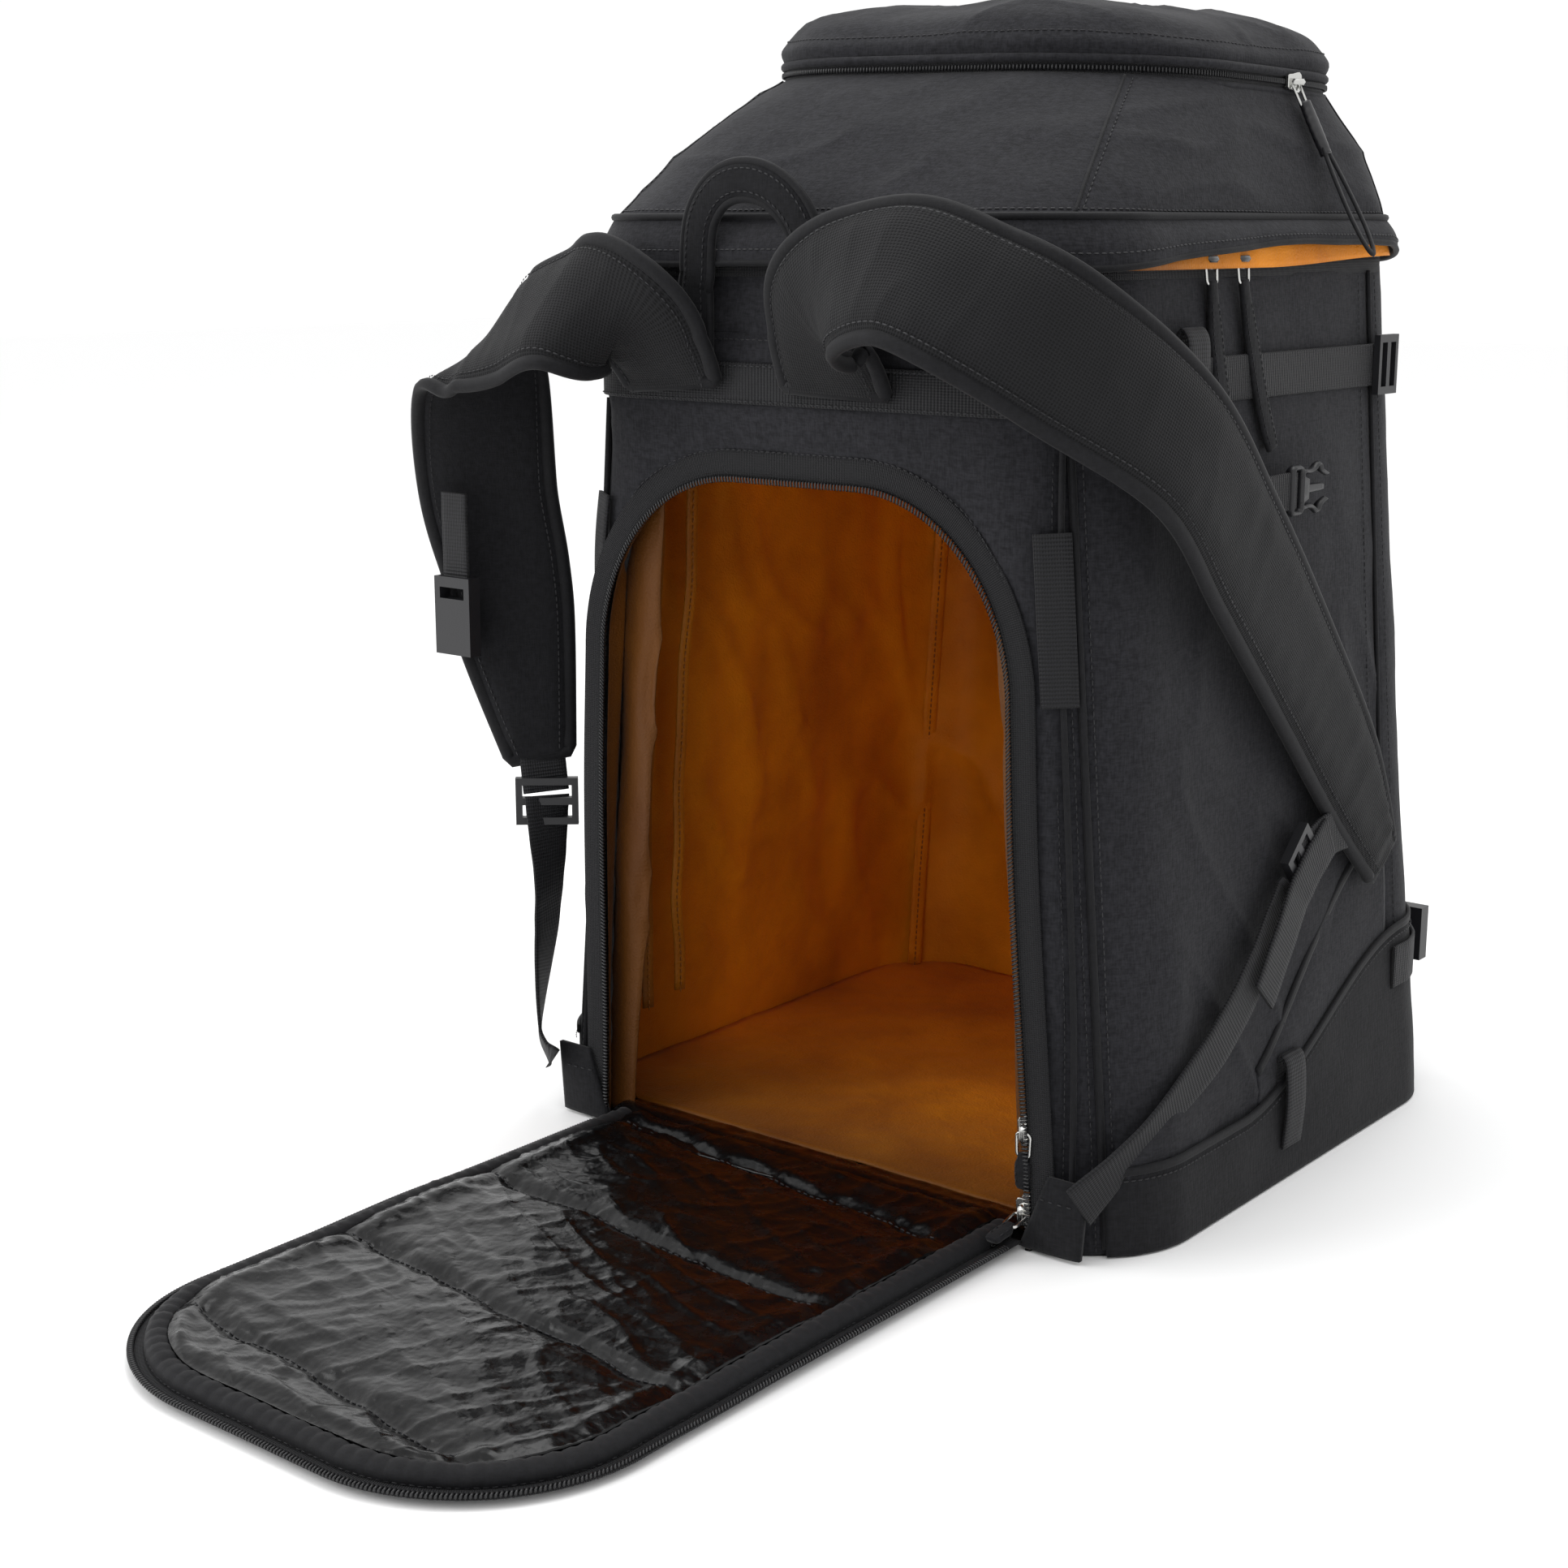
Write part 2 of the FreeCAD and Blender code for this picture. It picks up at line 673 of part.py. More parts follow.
handleLoop = makeCut(
    "HandleLoop",
    makeHandleLoop("HandleOuter", asSize(0), handleThick, handleLow),
    makeHandleLoop("HandleInner", asSize(handleBand), 2 * handleThick, handleLow - 5),
)
handlePlaced = makeGroup("HandlePlaced", handleLoop)
moveTo(handlePlaced, harness, 0, 0)
keep(handlePlaced, "haul_handle")


# A height given as a share of the rim height.
def upTo(share):
    return rimHeight * share


def point(x, y, z):
    return FreeCAD.Vector(asSize(x).value, asSize(y).value, asSize(z).value)


# Flat band skinned through stations of (centre, edge-to-edge direction, width).
def makeBand(name, stations, thickness, ruled=False):
    wires = []
    last = len(stations) - 1
    for index, (centre, across, width) in enumerate(stations):
        before = stations[max(index - 1, 0)][0]
        after = stations[min(index + 1, last)][0]
        run = (after - before).normalize()
        edgeways = FreeCAD.Vector(*across)
        edgeways = (edgeways - run * edgeways.dot(run)).normalize()
        outward = edgeways.cross(run).normalize()
        corners = []
        for sideways, through in ((-1, -1), (1, -1), (1, 1), (-1, 1)):
            corner = centre + edgeways * (sideways * width / 2) + outward * (through * thickness / 2)
            corners.append(corner)
        wires.append(Part.makePolygon(corners + [corners[0]]))
    band = doc.addObject("Part::Feature", name)
    band.Shape = Part.makeLoft(wires, True, ruled)
    return band


padWidth = size("padWidth").value
padThick = size("padThickness").value
rootWidth = padWidth - 6
padBack = yokeFace - padThick / 2

# The straps are sewn in either side of the handle.
strapSpacing = 102
rightRoot = harness + strapSpacing / 2
leftRoot = harness - strapSpacing / 2
# Each station is the middle of the pad at one place along its run, in millimetres from the
# yoke near the root and as a share of the rim height lower down.
# The right strap curls over the side of the bag and lies along it.
rightPath = {
    "root": point(rightRoot, padBack - 1.4, yokeHigh - 14),
    "rise": point(rightRoot + 3, padBack - 15, yokeHigh + 8),
    "start": point(rightRoot + 10, padBack - 30, yokeHigh + 25),
    "crest": point(rightRoot + 70, padBack - 44, yokeHigh + 39),
    "over": point(rightRoot + 104, padBack - 36, yokeHigh + 24),
    "turn": point(rightRoot + 137, padBack - 14, yokeHigh + 5),
    "fall": point(halfWidthAt(upTo(0.837)) + 32, -back + 34, upTo(0.837)),
    "side": point(halfWidthAt(upTo(0.717)) + 28, -back + 92, upTo(0.717)),
    "drop": point(halfWidthAt(upTo(0.57)) + 20, -back + 164, upTo(0.57)),
    "low": point(halfWidthAt(upTo(0.435)) + 14, -back + 222, upTo(0.435)),
    "tip": point(halfWidthAt(upTo(0.322)) + 11, -back + 262, upTo(0.322)),
}
rootStations = [
    (rightPath["root"], (1, 0, 0), rootWidth),
    (rightPath["rise"], (1, -0.1, 0), rootWidth),
]
keep(makeBand("StrapRootRight", rootStations, padThick), "strap_root_right")
rightStations = [
    (rightPath["start"], (0.9, -0.25, -0.35), rootWidth),
    (rightPath["crest"], (0.2, -0.5, -0.84), padWidth),
    (rightPath["over"], (0, -0.45, -0.9), padWidth),
    (rightPath["turn"], (-0.2, -0.4, -0.9), padWidth),
    (rightPath["fall"], (0, -0.67, -0.74), padWidth),
    (rightPath["side"], (0, -0.7, -0.7), padWidth),
    (rightPath["drop"], (0, -0.74, -0.67), padWidth - 4),
    (rightPath["low"], (0, -0.78, -0.6), padWidth - 12),
    (rightPath["tip"], (0, -0.8, -0.55), padWidth - 36),
]
keep(makeBand("PadRight", rightStations, padThick), "shoulder_pad_right")

# the left strap stands away from the bag, so its free part is set out from the side of the bag
leftSide = -size("baseHalfWidth").value
leftPath = {
    "root": point(leftRoot, padBack - 1.4, yokeHigh - 14),
    "rise": point(leftRoot - 2, padBack - 15, yokeHigh + 4),
    "start": point(leftRoot - 8, padBack - 28, yokeHigh + 17),
    "crest": point(leftRoot - 72, padBack - 30, yokeHigh + 8),
    "over": point(leftSide - 5, padBack - 12, yokeHigh - 18),
    "fall": point(leftSide - 17, padBack + 2, upTo(0.75)),
    "drop": point(leftSide - 4, padBack + 8, upTo(0.576)),
    "tip": point(leftSide + 7, padBack + 14, upTo(0.424)),
}
leftRootStations = [
    (leftPath["root"], (1, 0, 0), rootWidth),
    (leftPath["rise"], (1, 0.1, 0), rootWidth),
]
keep(makeBand("StrapRootLeft", leftRootStations, padThick), "strap_root_left")
leftStations = [
    (leftPath["start"], (0.9, 0.25, 0.35), rootWidth),
    (leftPath["crest"], (0.2, 0.5, 0.84), padWidth),
    (leftPath["over"], (0.5, 0.6, 0.5), padWidth),
    (leftPath["fall"], (0.75, 0.65, 0), padWidth),
    (leftPath["drop"], (0.75, 0.65, 0), padWidth - 10),
    (leftPath["tip"], (0.75, 0.65, 0), padWidth - 30),
]
keep(makeBand("PadLeft", leftStations, padThick), "shoulder_pad_left")

# ladder locks: a frame with a crossbar, thin side out
lockWide = 34
lockTall = 26
lockThick = 5
lockSlotHalf = 13.5
lockSlotTall = 7
lockBar = 4                     # frame below, between and above the two slots


def makeLadderLock(name, x, y, z, turn):
    frame = makeBox(
        name + "Frame", -lockThick / 2, lockThick / 2, -lockWide / 2, lockWide / 2, 0, lockTall
    )
    slots = []
    for number in range(2):
        low = lockBar + number * (lockSlotTall + lockBar)
        slots.append(makeBox(
            f"{name}Slot{number}", -lockThick, lockThick, -lockSlotHalf, lockSlotHalf,
            low, low + lockSlotTall,
        ))
    lock = makeCut(name, frame, makeFuse(name + "Slots", *slots))
    placed = makeGroup(name + "Placed", lock)
    placed.Placement = FreeCAD.Placement(FreeCAD.Vector(), FreeCAD.Rotation(*turn))
    moveTo(placed, x, y, z)
    return placed


webWidth = size("webbingWidth").value
webThick = size("webbingThickness").value
rightLock = point(halfWidthAt(upTo(0.37)) + 13, -back + 158, upTo(0.343))
leftLock = point(leftSide + 10, padBack + 14, upTo(0.352))
# turns are yaw, pitch and roll: each lock squares up to the end of its own strap
for side, place, turn in (("right", rightLock, (0, 0, -47)), ("left", leftLock, (-49, 0, 0))):
    lock = makeLadderLock(f"Lock_{side}", place.x, place.y, place.z, turn)
    keep(lock, f"ladder_lock_{side}")

anchorBack = -back - 9
rightWeb = [
    (point(rightLock.x, rightLock.y - 0.6, rightLock.z - 0.6), (0, 0.68, -0.73), webWidth),
    (point(halfWidthAt(upTo(0.185)) + 11, -back + 72, upTo(0.185)), (0, 0.75, -0.65), webWidth),
    (point(halfWidthAt(upTo(0.1)) + 6, -back + 14, upTo(0.1)), (-0.2, 0.6, -0.7), webWidth),
    (point(size("baseHalfWidth") - 22, anchorBack, 30), (0.2, 0.1, -1), webWidth),
]
keep(makeBand("WebRight", rightWeb, webThick, True), "strap_webbing_right")
leftWeb = [
    (point(leftLock.x, leftLock.y, leftLock.z - 3), (-0.1, 1, 0), webWidth),
    (point(-halfWidthAt(upTo(0.207)) - 12, -back + 2, upTo(0.207)), (-0.3, 1, 0), webWidth),
    (point(-(size("baseHalfWidth") - 10), anchorBack, 46), (-0.7, 0.7, 0), webWidth),
    (point(-(size("baseHalfWidth") - 22), anchorBack - 2, 32), (-1, 0.2, 0.1), webWidth),
]
keep(makeBand("WebLeft", leftWeb, webThick, True), "strap_webbing_left")

# folded tabs that hold the webbing at the bottom corners of the back
anchorHalf = size("baseHalfWidth") - size("seamInset") - 2
anchorWide = 26
anchorHigh = 26
anchorThick = 4
tabs = []
for side, sign in (("Right", 1), ("Left", -1)):
    body = doc.addObject("PartDesign::Body", "Anchor" + side)
    sketch = newSketch(body, f"Anchor{side}Outline", "XZ_Plane", back)
    drawPolygon(sketch, [
        (sign * (anchorHalf - anchorWide), 1),
        (sign * anchorHalf, 1),
        (sign * anchorHalf, anchorHigh),
        (sign * (anchorHalf - 8), anchorHigh),
    ])
    padSketch(body, sketch, anchorThick)
    tabs.append(body)
keep(makeGroup("AnchorTabs", *tabs), "strap_anchor_tabs")

# chest strap ends


def makeBuckle(name, left, right, back, front, low, high, slot):
    shell = makeBox(name + "Shell", left, right, back, front, low, high)
    hollow = makeBox(name + "Slot", *slot)
    return makeCut(name, shell, hollow)


# right half: a short webbing on the pad's inner side, running level to the buckle
chestHeight = upTo(0.767)
chestX = halfWidthAt(chestHeight) + 10
chestBack = -back + 122
chestWebLong = 44
chestWebHalf = 10
chestBuckleLong = 40
chestBuckleHalf = 13
buckleGap = 0.4                 # between the end of the webbing and the buckle
rightWebEnd = chestBack + chestWebLong
keep(makeBox(
    "ChestWebRight", chestX, chestX + webThick, chestBack, rightWebEnd,
    chestHeight - chestWebHalf, chestHeight + chestWebHalf,
), "chest_webbing_right")
keep(makeBuckle(
    "ChestBuckleRight", chestX - 3, chestX + 5,
    rightWebEnd + buckleGap, rightWebEnd + chestBuckleLong,
    chestHeight - chestBuckleHalf, chestHeight + chestBuckleHalf,
    (chestX - 4, chestX + 6, rightWebEnd + 6, rightWebEnd + 12, chestHeight - 9, chestHeight + 9),
), "chest_buckle_right")
# left half: the same pieces hanging straight down from the other pad
chestLeftX = leftPath["fall"].x
chestLeftY = leftPath["fall"].y - 24
chestLeftTop = leftPath["fall"].z - 5
leftWebEnd = chestLeftTop - 40
keep(makeBox(
    "ChestWebLeft", chestLeftX - chestWebHalf, chestLeftX + chestWebHalf,
    chestLeftY - webThick, chestLeftY, leftWebEnd, chestLeftTop,
), "chest_webbing_left")
keep(makeBuckle(
    "ChestBuckleLeft", chestLeftX - chestBuckleHalf, chestLeftX + chestBuckleHalf,
    chestLeftY - 5, chestLeftY + 3,
    leftWebEnd - chestBuckleLong - 2, leftWebEnd - buckleGap,
    (chestLeftX - 9, chestLeftX + 9, chestLeftY - 6, chestLeftY + 4, leftWebEnd - 12, leftWebEnd - 6),
), "chest_buckle_left")

# outside of the body

guard = size("guardThickness")
wrapLow = size("wrapLow")
wrapHigh = size("wrapHigh")

# base guard: its top edge climbs towards the front
guardSkin = makeSkin("GuardSkin", 1, wrapHigh + 26, 0, guard)
guardKinkY = -40                # where the top edge starts to climb
guardCutter = makeSideCutter("GuardCutter", [
    (-back - 20, -2), (size("baseFront") + 40, -2), (size("baseFront") + 40, wrapHigh),
    (size("frontSeam"), wrapHigh), (guardKinkY, wrapLow + 2), (-back - 20, wrapLow - 3),
])
guardCommon = makeCommon("GuardCommon", guardSkin, guardCutter)
backClear = makeBox("GuardBackClear", -seamLow - 2, seamLow + 2, -far, -back + 3, -1, 200)
keep(makeCut("BaseGuard", guardCommon, backClear), "base_guard")

# flat pocket above the guard on each side
pocketSkin = makeSkin("SidePocketSkin", 30, wrapHigh + 96, 0, guard)
sidePocketFront = size("frontSeam") - 2
sidePocketTall = 61             # at its front edge; it narrows towards the back
pocketCutter = makeSideCutter("SidePocketCutter", [
    (guardKinkY, wrapLow + 3),
    (sidePocketFront, wrapHigh + 1),
    (sidePocketFront, wrapHigh + 1 + sidePocketTall),
    (guardKinkY, wrapLow + 26),
])
for side, left, right in (("right", 0, far), ("left", -far, 0)):
    region = makeBox(f"PocketSide_{side}", left, right, -60, sidePocketFront, 0, rimHeight)
    cutHalf = makeCommon(f"PocketHalf_{side}", pocketSkin, region)
    keep(makeCommon(f"SidePocket_{side}", cutHalf, pocketCutter), f"side_pocket_{side}")

# compression straps high on the sides
strapHigh = rimHeight - 39
strapLow = strapHigh - 23
strapSkin = makeSkin("StrapSkin", strapLow, strapHigh, 0, webThick)
strapEnds = []
for side, left, right in (("Right", 0, far), ("Left", -far, 0)):
    region = makeBox(f"StrapReach{side}", left, right, -back + 22, size("frontSeam") + 20, 0, rimHeight)
    strapEnds.append(makeCommon(f"SideStrap{side}", strapSkin, region))
keep(makeGroup("SideStraps", *strapEnds), "side_straps")

# three-bar sliders on those straps
barSlides = []
barThick = 3.5
barBack = 106
barLong = 22
barSlotLong = 6
barSlotStep = 10
barRim = 4                      # above and below the strap
barLow = strapLow - barRim
barHigh = strapHigh + barRim
barX = halfWidthAt(barLow) + webThick + 0.8
for side, left in (("Right", barX), ("Left", -barX - barThick)):
    plate = makeBox(
        f"BarPlate{side}", left, left + barThick, barBack, barBack + barLong, barLow, barHigh
    )
    for number in range(2):
        start = barBack + 3 + number * barSlotStep
        slot = makeBox(
            f"BarSlot{side}{number}", left - 1, left + barThick + 1.5,
            start, start + barSlotLong, strapLow, strapHigh,
        )
        plate = makeCut(f"Bar{side}{number}", plate, slot)
    barSlides.append(plate)
keep(makeGroup("BarSlides", *barSlides), "side_strap_bars")

# loose webbing ends on the rear corners
tailLow = upTo(0.576)
tailTall = 62
tailSkin = makeSkin("TailSkin", tailLow, tailLow + tailTall, 0, webThick)
tails = []
for side, left, right in (("Right", 0, far), ("Left", -far, 0)):
    region = makeBox(f"TailReach{side}", left, right, -back + 22, -back + 46, 0, rimHeight)
    tails.append(makeCommon(f"Tail{side}", tailSkin, region))
keep(makeGroup("WebbingTails", *tails), "webbing_tails")

# folded loops sewn to the sides, one under the strap and one by the base
loops = []
loopOut = 7
loopWide = 22
loopTall = 26
loopWall = 3
loopHoleHalf = 1.6
for side, sign in (("Right", 1), ("Left", -1)):
    for level, loopBack, low in (("Low", -22, 16), ("High", -96, strapHigh + 2)):
        inner = halfWidthAt(low) + guard + 0.2
        outer = inner + loopOut
        middle = sign * (inner + outer) / 2
        left, right = (inner, outer) if sign > 0 else (-outer, -inner)
        outside = makeBox(
            f"Loop{side}{level}Outside", left, right, loopBack, loopBack + loopWide,
            low, low + loopTall,
        )
        hole = makeBox(
            f"Loop{side}{level}Hole", middle - loopHoleHalf, middle + loopHoleHalf,
            loopBack - 1, loopBack + loopWide + 1, low + loopWall, low + loopTall - loopWall,
        )
        loops.append(makeCut(f"Loop{side}{level}", outside, hole))
keep(makeGroup("LoopTabs", *loops), "loop_tabs")

# front pocket with its upright zip on the right edge
pocketHalf = 120
pocketLow = 64
pocketHigh = rimHeight - 68
pocketBlock = makeSkin("PocketBlock", pocketLow, pocketHigh, 2.4, size("pocketDepth"))
pocketRegion = makeBox("PocketRegion", -pocketHalf, pocketHalf, size("frontSeam"), far, 0, rimHeight)
keep(makeCommon("FrontPocket", pocketBlock, pocketRegion), "front_pocket")
ringZipHalf = ringZipThick / 2
frontZipX = pocketHalf + ringZipHalf
frontZipY = size("rimFront") + 16
frontZipHalf = 3
keep(makeBox(
    "FrontPocketZip", pocketHalf, pocketHalf + ringZipThick,
    frontZipY - frontZipHalf, frontZipY + frontZipHalf, pocketLow + 46, pocketHigh - 42,
), "front_pocket_zip")

# lower front strap with its buckle on the right corner
frontStrapLow = 70
frontStrapHigh = frontStrapLow + size("webbingWidth")
frontStrapInner = guard + 0.4
frontStrapSkin = makeSkin(
    "FrontStrapSkin", frontStrapLow, frontStrapHigh, frontStrapInner, frontStrapInner + webThick
)
cornerReach = makeBox(
    "CornerReach", pocketHalf + 1, far, size("frontSeam") + 6, size("baseFront") - 4, 0, rimHeight
)
keep(makeCommon("FrontStrap", frontStrapSkin, cornerReach), "front_strap")
buckleX = size("baseHalfWidth") - 32
buckleY = size("baseFront") + 0.5
keep(makeBuckle(
    "FrontBuckle", buckleX - 14, buckleX + 14, buckleY, buckleY + 9,
    frontStrapLow - 3, frontStrapHigh + 3,
    (buckleX - 9, buckleX - 3, buckleY - 1, buckleY + 10, frontStrapLow + 2, frontStrapHigh - 2),
), "front_buckle")

# zip sliders and their pulls

slack = 0.4                     # between a slider and the rows it runs on
plateThick = 1.3
sliderHalfLong = 7
sliderHalfWide = 5
bridgeLeg = 1.2
pinRadius = 0.7
windowTall = 2.6                # room for the pin under the bridge


# Box given along, across and outward from a slider's centre.
def makeLocalBox(name, frame, along, across, out):
    spans = {}
    for key, (low, high) in (("along", along), ("across", across), ("out", out)):
        axis, sign = frame[key]
        centre = frame[axis]
        if sign > 0:
            spans[axis] = (centre + low, centre + high)
        else:
            spans[axis] = (centre - high, centre - low)
    return makeBox(name, *spans["x"], *spans["y"], *spans["z"])


# Small bridge on a slider that holds the pull's pin; legs stand apart in the leg direction.
def makeBridge(name, frame, base, pinKey):
    def bridgeBox(suffix, legSpan, out):
        spans = {pinKey: (-1.5, 1.5), frame["legs"]: legSpan}
        return makeLocalBox(name + suffix, frame, spans["along"], spans["across"], out)

    top = base + windowTall
    reach = 3.4
    inside = reach - bridgeLeg
    return [
        bridgeBox("LegA", (-reach, -inside), (base - 0.2, top)),
        bridgeBox("LegB", (inside, reach), (base - 0.2, top)),
        bridgeBox("Bar", (-reach, reach), (top, top + bridgeLeg)),
    ]


def makeSlider(name, frame, rowHalf, wrapped, pinKey):
    inner = rowHalf + slack
    outer = inner + plateThick
    along = (-sliderHalfLong, sliderHalfLong)
    across = (-sliderHalfWide, sliderHalfWide)
    pieces = [makeLocalBox(name + "Top", frame, along, across, (inner, outer))]
    if wrapped:
        post = (sliderHalfLong - 4, sliderHalfLong)
        pieces.append(makeLocalBox(name + "Under", frame, along, across, (-outer, -inner)))
        pieces.append(makeLocalBox(name + "Post", frame, post, (-0.5, 0.5), (-inner, inner)))
    else:
        lip = sliderHalfWide - 1.4
        for suffix, edge in (("LipA", (-sliderHalfWide, -lip)), ("LipB", (lip, sliderHalfWide))):
            pieces.append(makeLocalBox(name + suffix, frame, along, edge, (inner - 1, inner)))
    frame["legs"] = "across" if pinKey == "along" else "along"
    pieces += makeBridge(name + "Bridge", frame, outer, pinKey)
    return makeFuse(name, *pieces), outer + windowTall / 2


# Wire link and tape tab hanging down from its pin, turned about the pin by the lean angle.
def makePull(name, pin, axis, length, lean, width=9):
    half = width / 2
    tabHalf = 1.1
    linkLong = 10
    wire = (-pinRadius, pinRadius)
    arms = [(-half, 2 * pinRadius - half), (half - 2 * pinRadius, half)]
    rod = makeCylinder(name + "Rod", axis, pinRadius, 0, 0, 0, width)
    if axis == "x":
        moveTo(rod, -half, 0, 0)
        armSpans = [arm + wire for arm in arms]
        tabSpan = (-half, half, -tabHalf, tabHalf)
        turn = FreeCAD.Rotation(FreeCAD.Vector(1, 0, 0), lean)
    else:
        moveTo(rod, 0, -half, 0)
        armSpans = [wire + arm for arm in arms]
        tabSpan = (-tabHalf, tabHalf, -half, half)
        turn = FreeCAD.Rotation(FreeCAD.Vector(0, 1, 0), lean)
    pieces = [rod]
    for number, span in enumerate(armSpans):
        pieces.append(makeBox(f"{name}Arm{number}", *span, -linkLong, 0))
    pieces.append(makeBox(name + "Tab", *tabSpan, -length, 1 - linkLong))
    pull = makeGroup(name + "Placed", makeFuse(name, *pieces))
    pull.Placement = FreeCAD.Placement(FreeCAD.Vector(), turn)
    moveTo(pull, *pin)
    return pull


# two sliders parked at the bottom of the doorway's right side
rowMiddle = frameChainBack + chainHalf
seamX = doorHalf + zipGap / 2
for level, height, length, lean in (("upper", 58, 28, 0), ("lower", 17, 26, -78)):
    frame = {
        "x": seamX, "y": rowMiddle, "z": asSize(height),
        "along": ("z", 1), "across": ("x", 1), "out": ("y", -1),
    }
    slider, pinOut = makeSlider(f"DoorSlider_{level}", frame, chainHalf, True, "across")
    keep(slider, f"door_slider_{level}")
    pin = (seamX, rowMiddle - pinOut, asSize(height))
    keep(makePull(f"DoorPull_{level}", pin, "x", length, lean), f"door_pull_{level}")

# two sliders on the lid zip, on the right side of the rim
lidRowX = size("rimHalfWidth") - chainHalf
lidRowZ = (rimRowHigh + lidRowLow) / 2
wallLean = -math.degrees(math.atan((halfWidthAt(0) - halfWidthAt(100)).value / 100)) - 0.8
for place, slideY, length in (("rear", -62, 88), ("front", -31, 92)):
    frame = {
        "x": lidRowX, "y": asSize(slideY), "z": lidRowZ,
        "along": ("y", 1), "across": ("z", 1), "out": ("x", 1),
    }
    slider, pinOut = makeSlider(f"LidSlider_{place}", frame, chainHalf, True, "along")
    keep(slider, f"lid_slider_{place}")
    pin = (lidRowX + pinOut, asSize(slideY), lidRowZ)
    keep(makePull(f"LidPull_{place}", pin, "y", length, wallLean), f"lid_pull_{place}")

# slider on the top pocket's zip, on the straight stretch at the right
frame = {
    "x": ringHalf + ringZipHalf, "y": asSize(60), "z": ringHeight + 0.9,
    "along": ("y", 1), "across": ("z", 1), "out": ("x", 1),
}
slider, pinOut = makeSlider("RingSlider", frame, ringZipHalf, False, "along")
keep(slider, "pocket_slider")
ringLean = -math.degrees(math.atan2(
    size("lidRingInset").value, size("lidRise").value
)) - 6
pin = (frame["x"] + pinOut, frame["y"], frame["z"])
keep(makePull("RingPull", pin, "y", 62, ringLean), "pocket_pull")

# slider on the front pocket's zip
frame = {
    "x": asSize(frontZipX), "y": frontZipY, "z": asSize(300),
    "along": ("z", 1), "across": ("y", 1), "out": ("x", 1),
}
slider, pinOut = makeSlider("FrontSlider", frame, ringZipHalf, False, "across")
keep(slider, "front_slider")
pin = (frame["x"] + pinOut, frame["y"], frame["z"])
keep(makePull("FrontPull", pin, "y", 52, -2), "front_pull")

# check and write out

doc.recompute()
for item in doc.Objects:
    if "Invalid" in item.State or "Error" in item.State:
        raise RuntimeError(f"{item.Name} did not build")
labels = [item.Label for item in parts]
if len(set(labels)) != len(labels):
    raise RuntimeError("two parts share a name")
os.makedirs("parts", exist_ok=True)
for item in parts:
    if item.Shape.isNull() or not item.Shape.isValid():
        raise RuntimeError(f"{item.Label} is not a sound solid")
    item.Shape.exportStep(f"parts/{item.Label}.step")
print(len(parts), "parts written")
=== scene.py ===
import bmesh
import bpy
import math
import random
from mathutils import Matrix, Vector, noise


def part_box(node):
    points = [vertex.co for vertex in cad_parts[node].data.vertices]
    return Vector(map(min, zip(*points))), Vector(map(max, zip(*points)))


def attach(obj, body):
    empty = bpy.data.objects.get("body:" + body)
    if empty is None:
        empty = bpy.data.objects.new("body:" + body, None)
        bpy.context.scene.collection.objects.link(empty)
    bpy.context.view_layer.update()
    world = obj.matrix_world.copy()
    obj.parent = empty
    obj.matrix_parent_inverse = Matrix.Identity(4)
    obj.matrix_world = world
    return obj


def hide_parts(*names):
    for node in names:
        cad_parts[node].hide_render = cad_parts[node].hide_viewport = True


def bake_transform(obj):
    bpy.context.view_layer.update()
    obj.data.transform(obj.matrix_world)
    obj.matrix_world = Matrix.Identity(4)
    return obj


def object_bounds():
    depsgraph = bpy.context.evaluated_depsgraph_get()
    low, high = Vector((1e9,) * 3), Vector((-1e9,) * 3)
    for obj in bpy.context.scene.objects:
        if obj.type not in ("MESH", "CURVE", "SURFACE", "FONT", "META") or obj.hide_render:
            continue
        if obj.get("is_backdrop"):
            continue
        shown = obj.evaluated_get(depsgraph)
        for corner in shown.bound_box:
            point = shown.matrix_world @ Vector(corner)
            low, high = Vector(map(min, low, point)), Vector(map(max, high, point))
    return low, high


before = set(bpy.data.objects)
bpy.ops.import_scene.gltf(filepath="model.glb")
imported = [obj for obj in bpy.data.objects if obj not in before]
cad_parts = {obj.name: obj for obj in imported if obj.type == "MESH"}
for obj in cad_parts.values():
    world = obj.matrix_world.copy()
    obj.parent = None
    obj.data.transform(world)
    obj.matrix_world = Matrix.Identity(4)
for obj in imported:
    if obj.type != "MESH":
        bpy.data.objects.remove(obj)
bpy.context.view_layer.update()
scene = bpy.context.scene
print("frame loaded")

# lengths are in millimetres until a mesh is made
metre = 0.001


def box(node):
    low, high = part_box(node)
    return low / metre, high / metre


baseHalf = box("side_panel_right")[1].x
rimHigh = box("side_panel_right")[1].z
rimHalf = box("lid_zip_rim_row")[1].x
backY = box("back_panel")[0].y
baseFront = box("front_panel")[1].y
rimFront = box("lid_wall")[1].y
cornerRadius = 56


def mix(a, b, share):
    return a + (b - a) * share


def clamp(value, low=0.0, high=1.0):
    return max(low, min(high, value))


def smooth(value):
    value = clamp(value)
    return value * value * (3 - 2 * value)


def halfAt(z):
    return mix(baseHalf, rimHalf, z / rimHigh)


def frontAt(z):
    return mix(baseFront, rimFront, z / rimHigh)


# Soft swelling and creasing of cloth, in millimetres along the normal.
def cloth(p, seed=0, large=1.5, middle=0.5, small=0.16):
    shift = Vector((seed * 17.3, seed * 5.1, seed * 9.7))
    value = large * noise.noise(p / 85 + shift)
    value += middle * noise.noise(p / 30 + shift)
    value += small * noise.noise(p / 11 + shift)
    return value


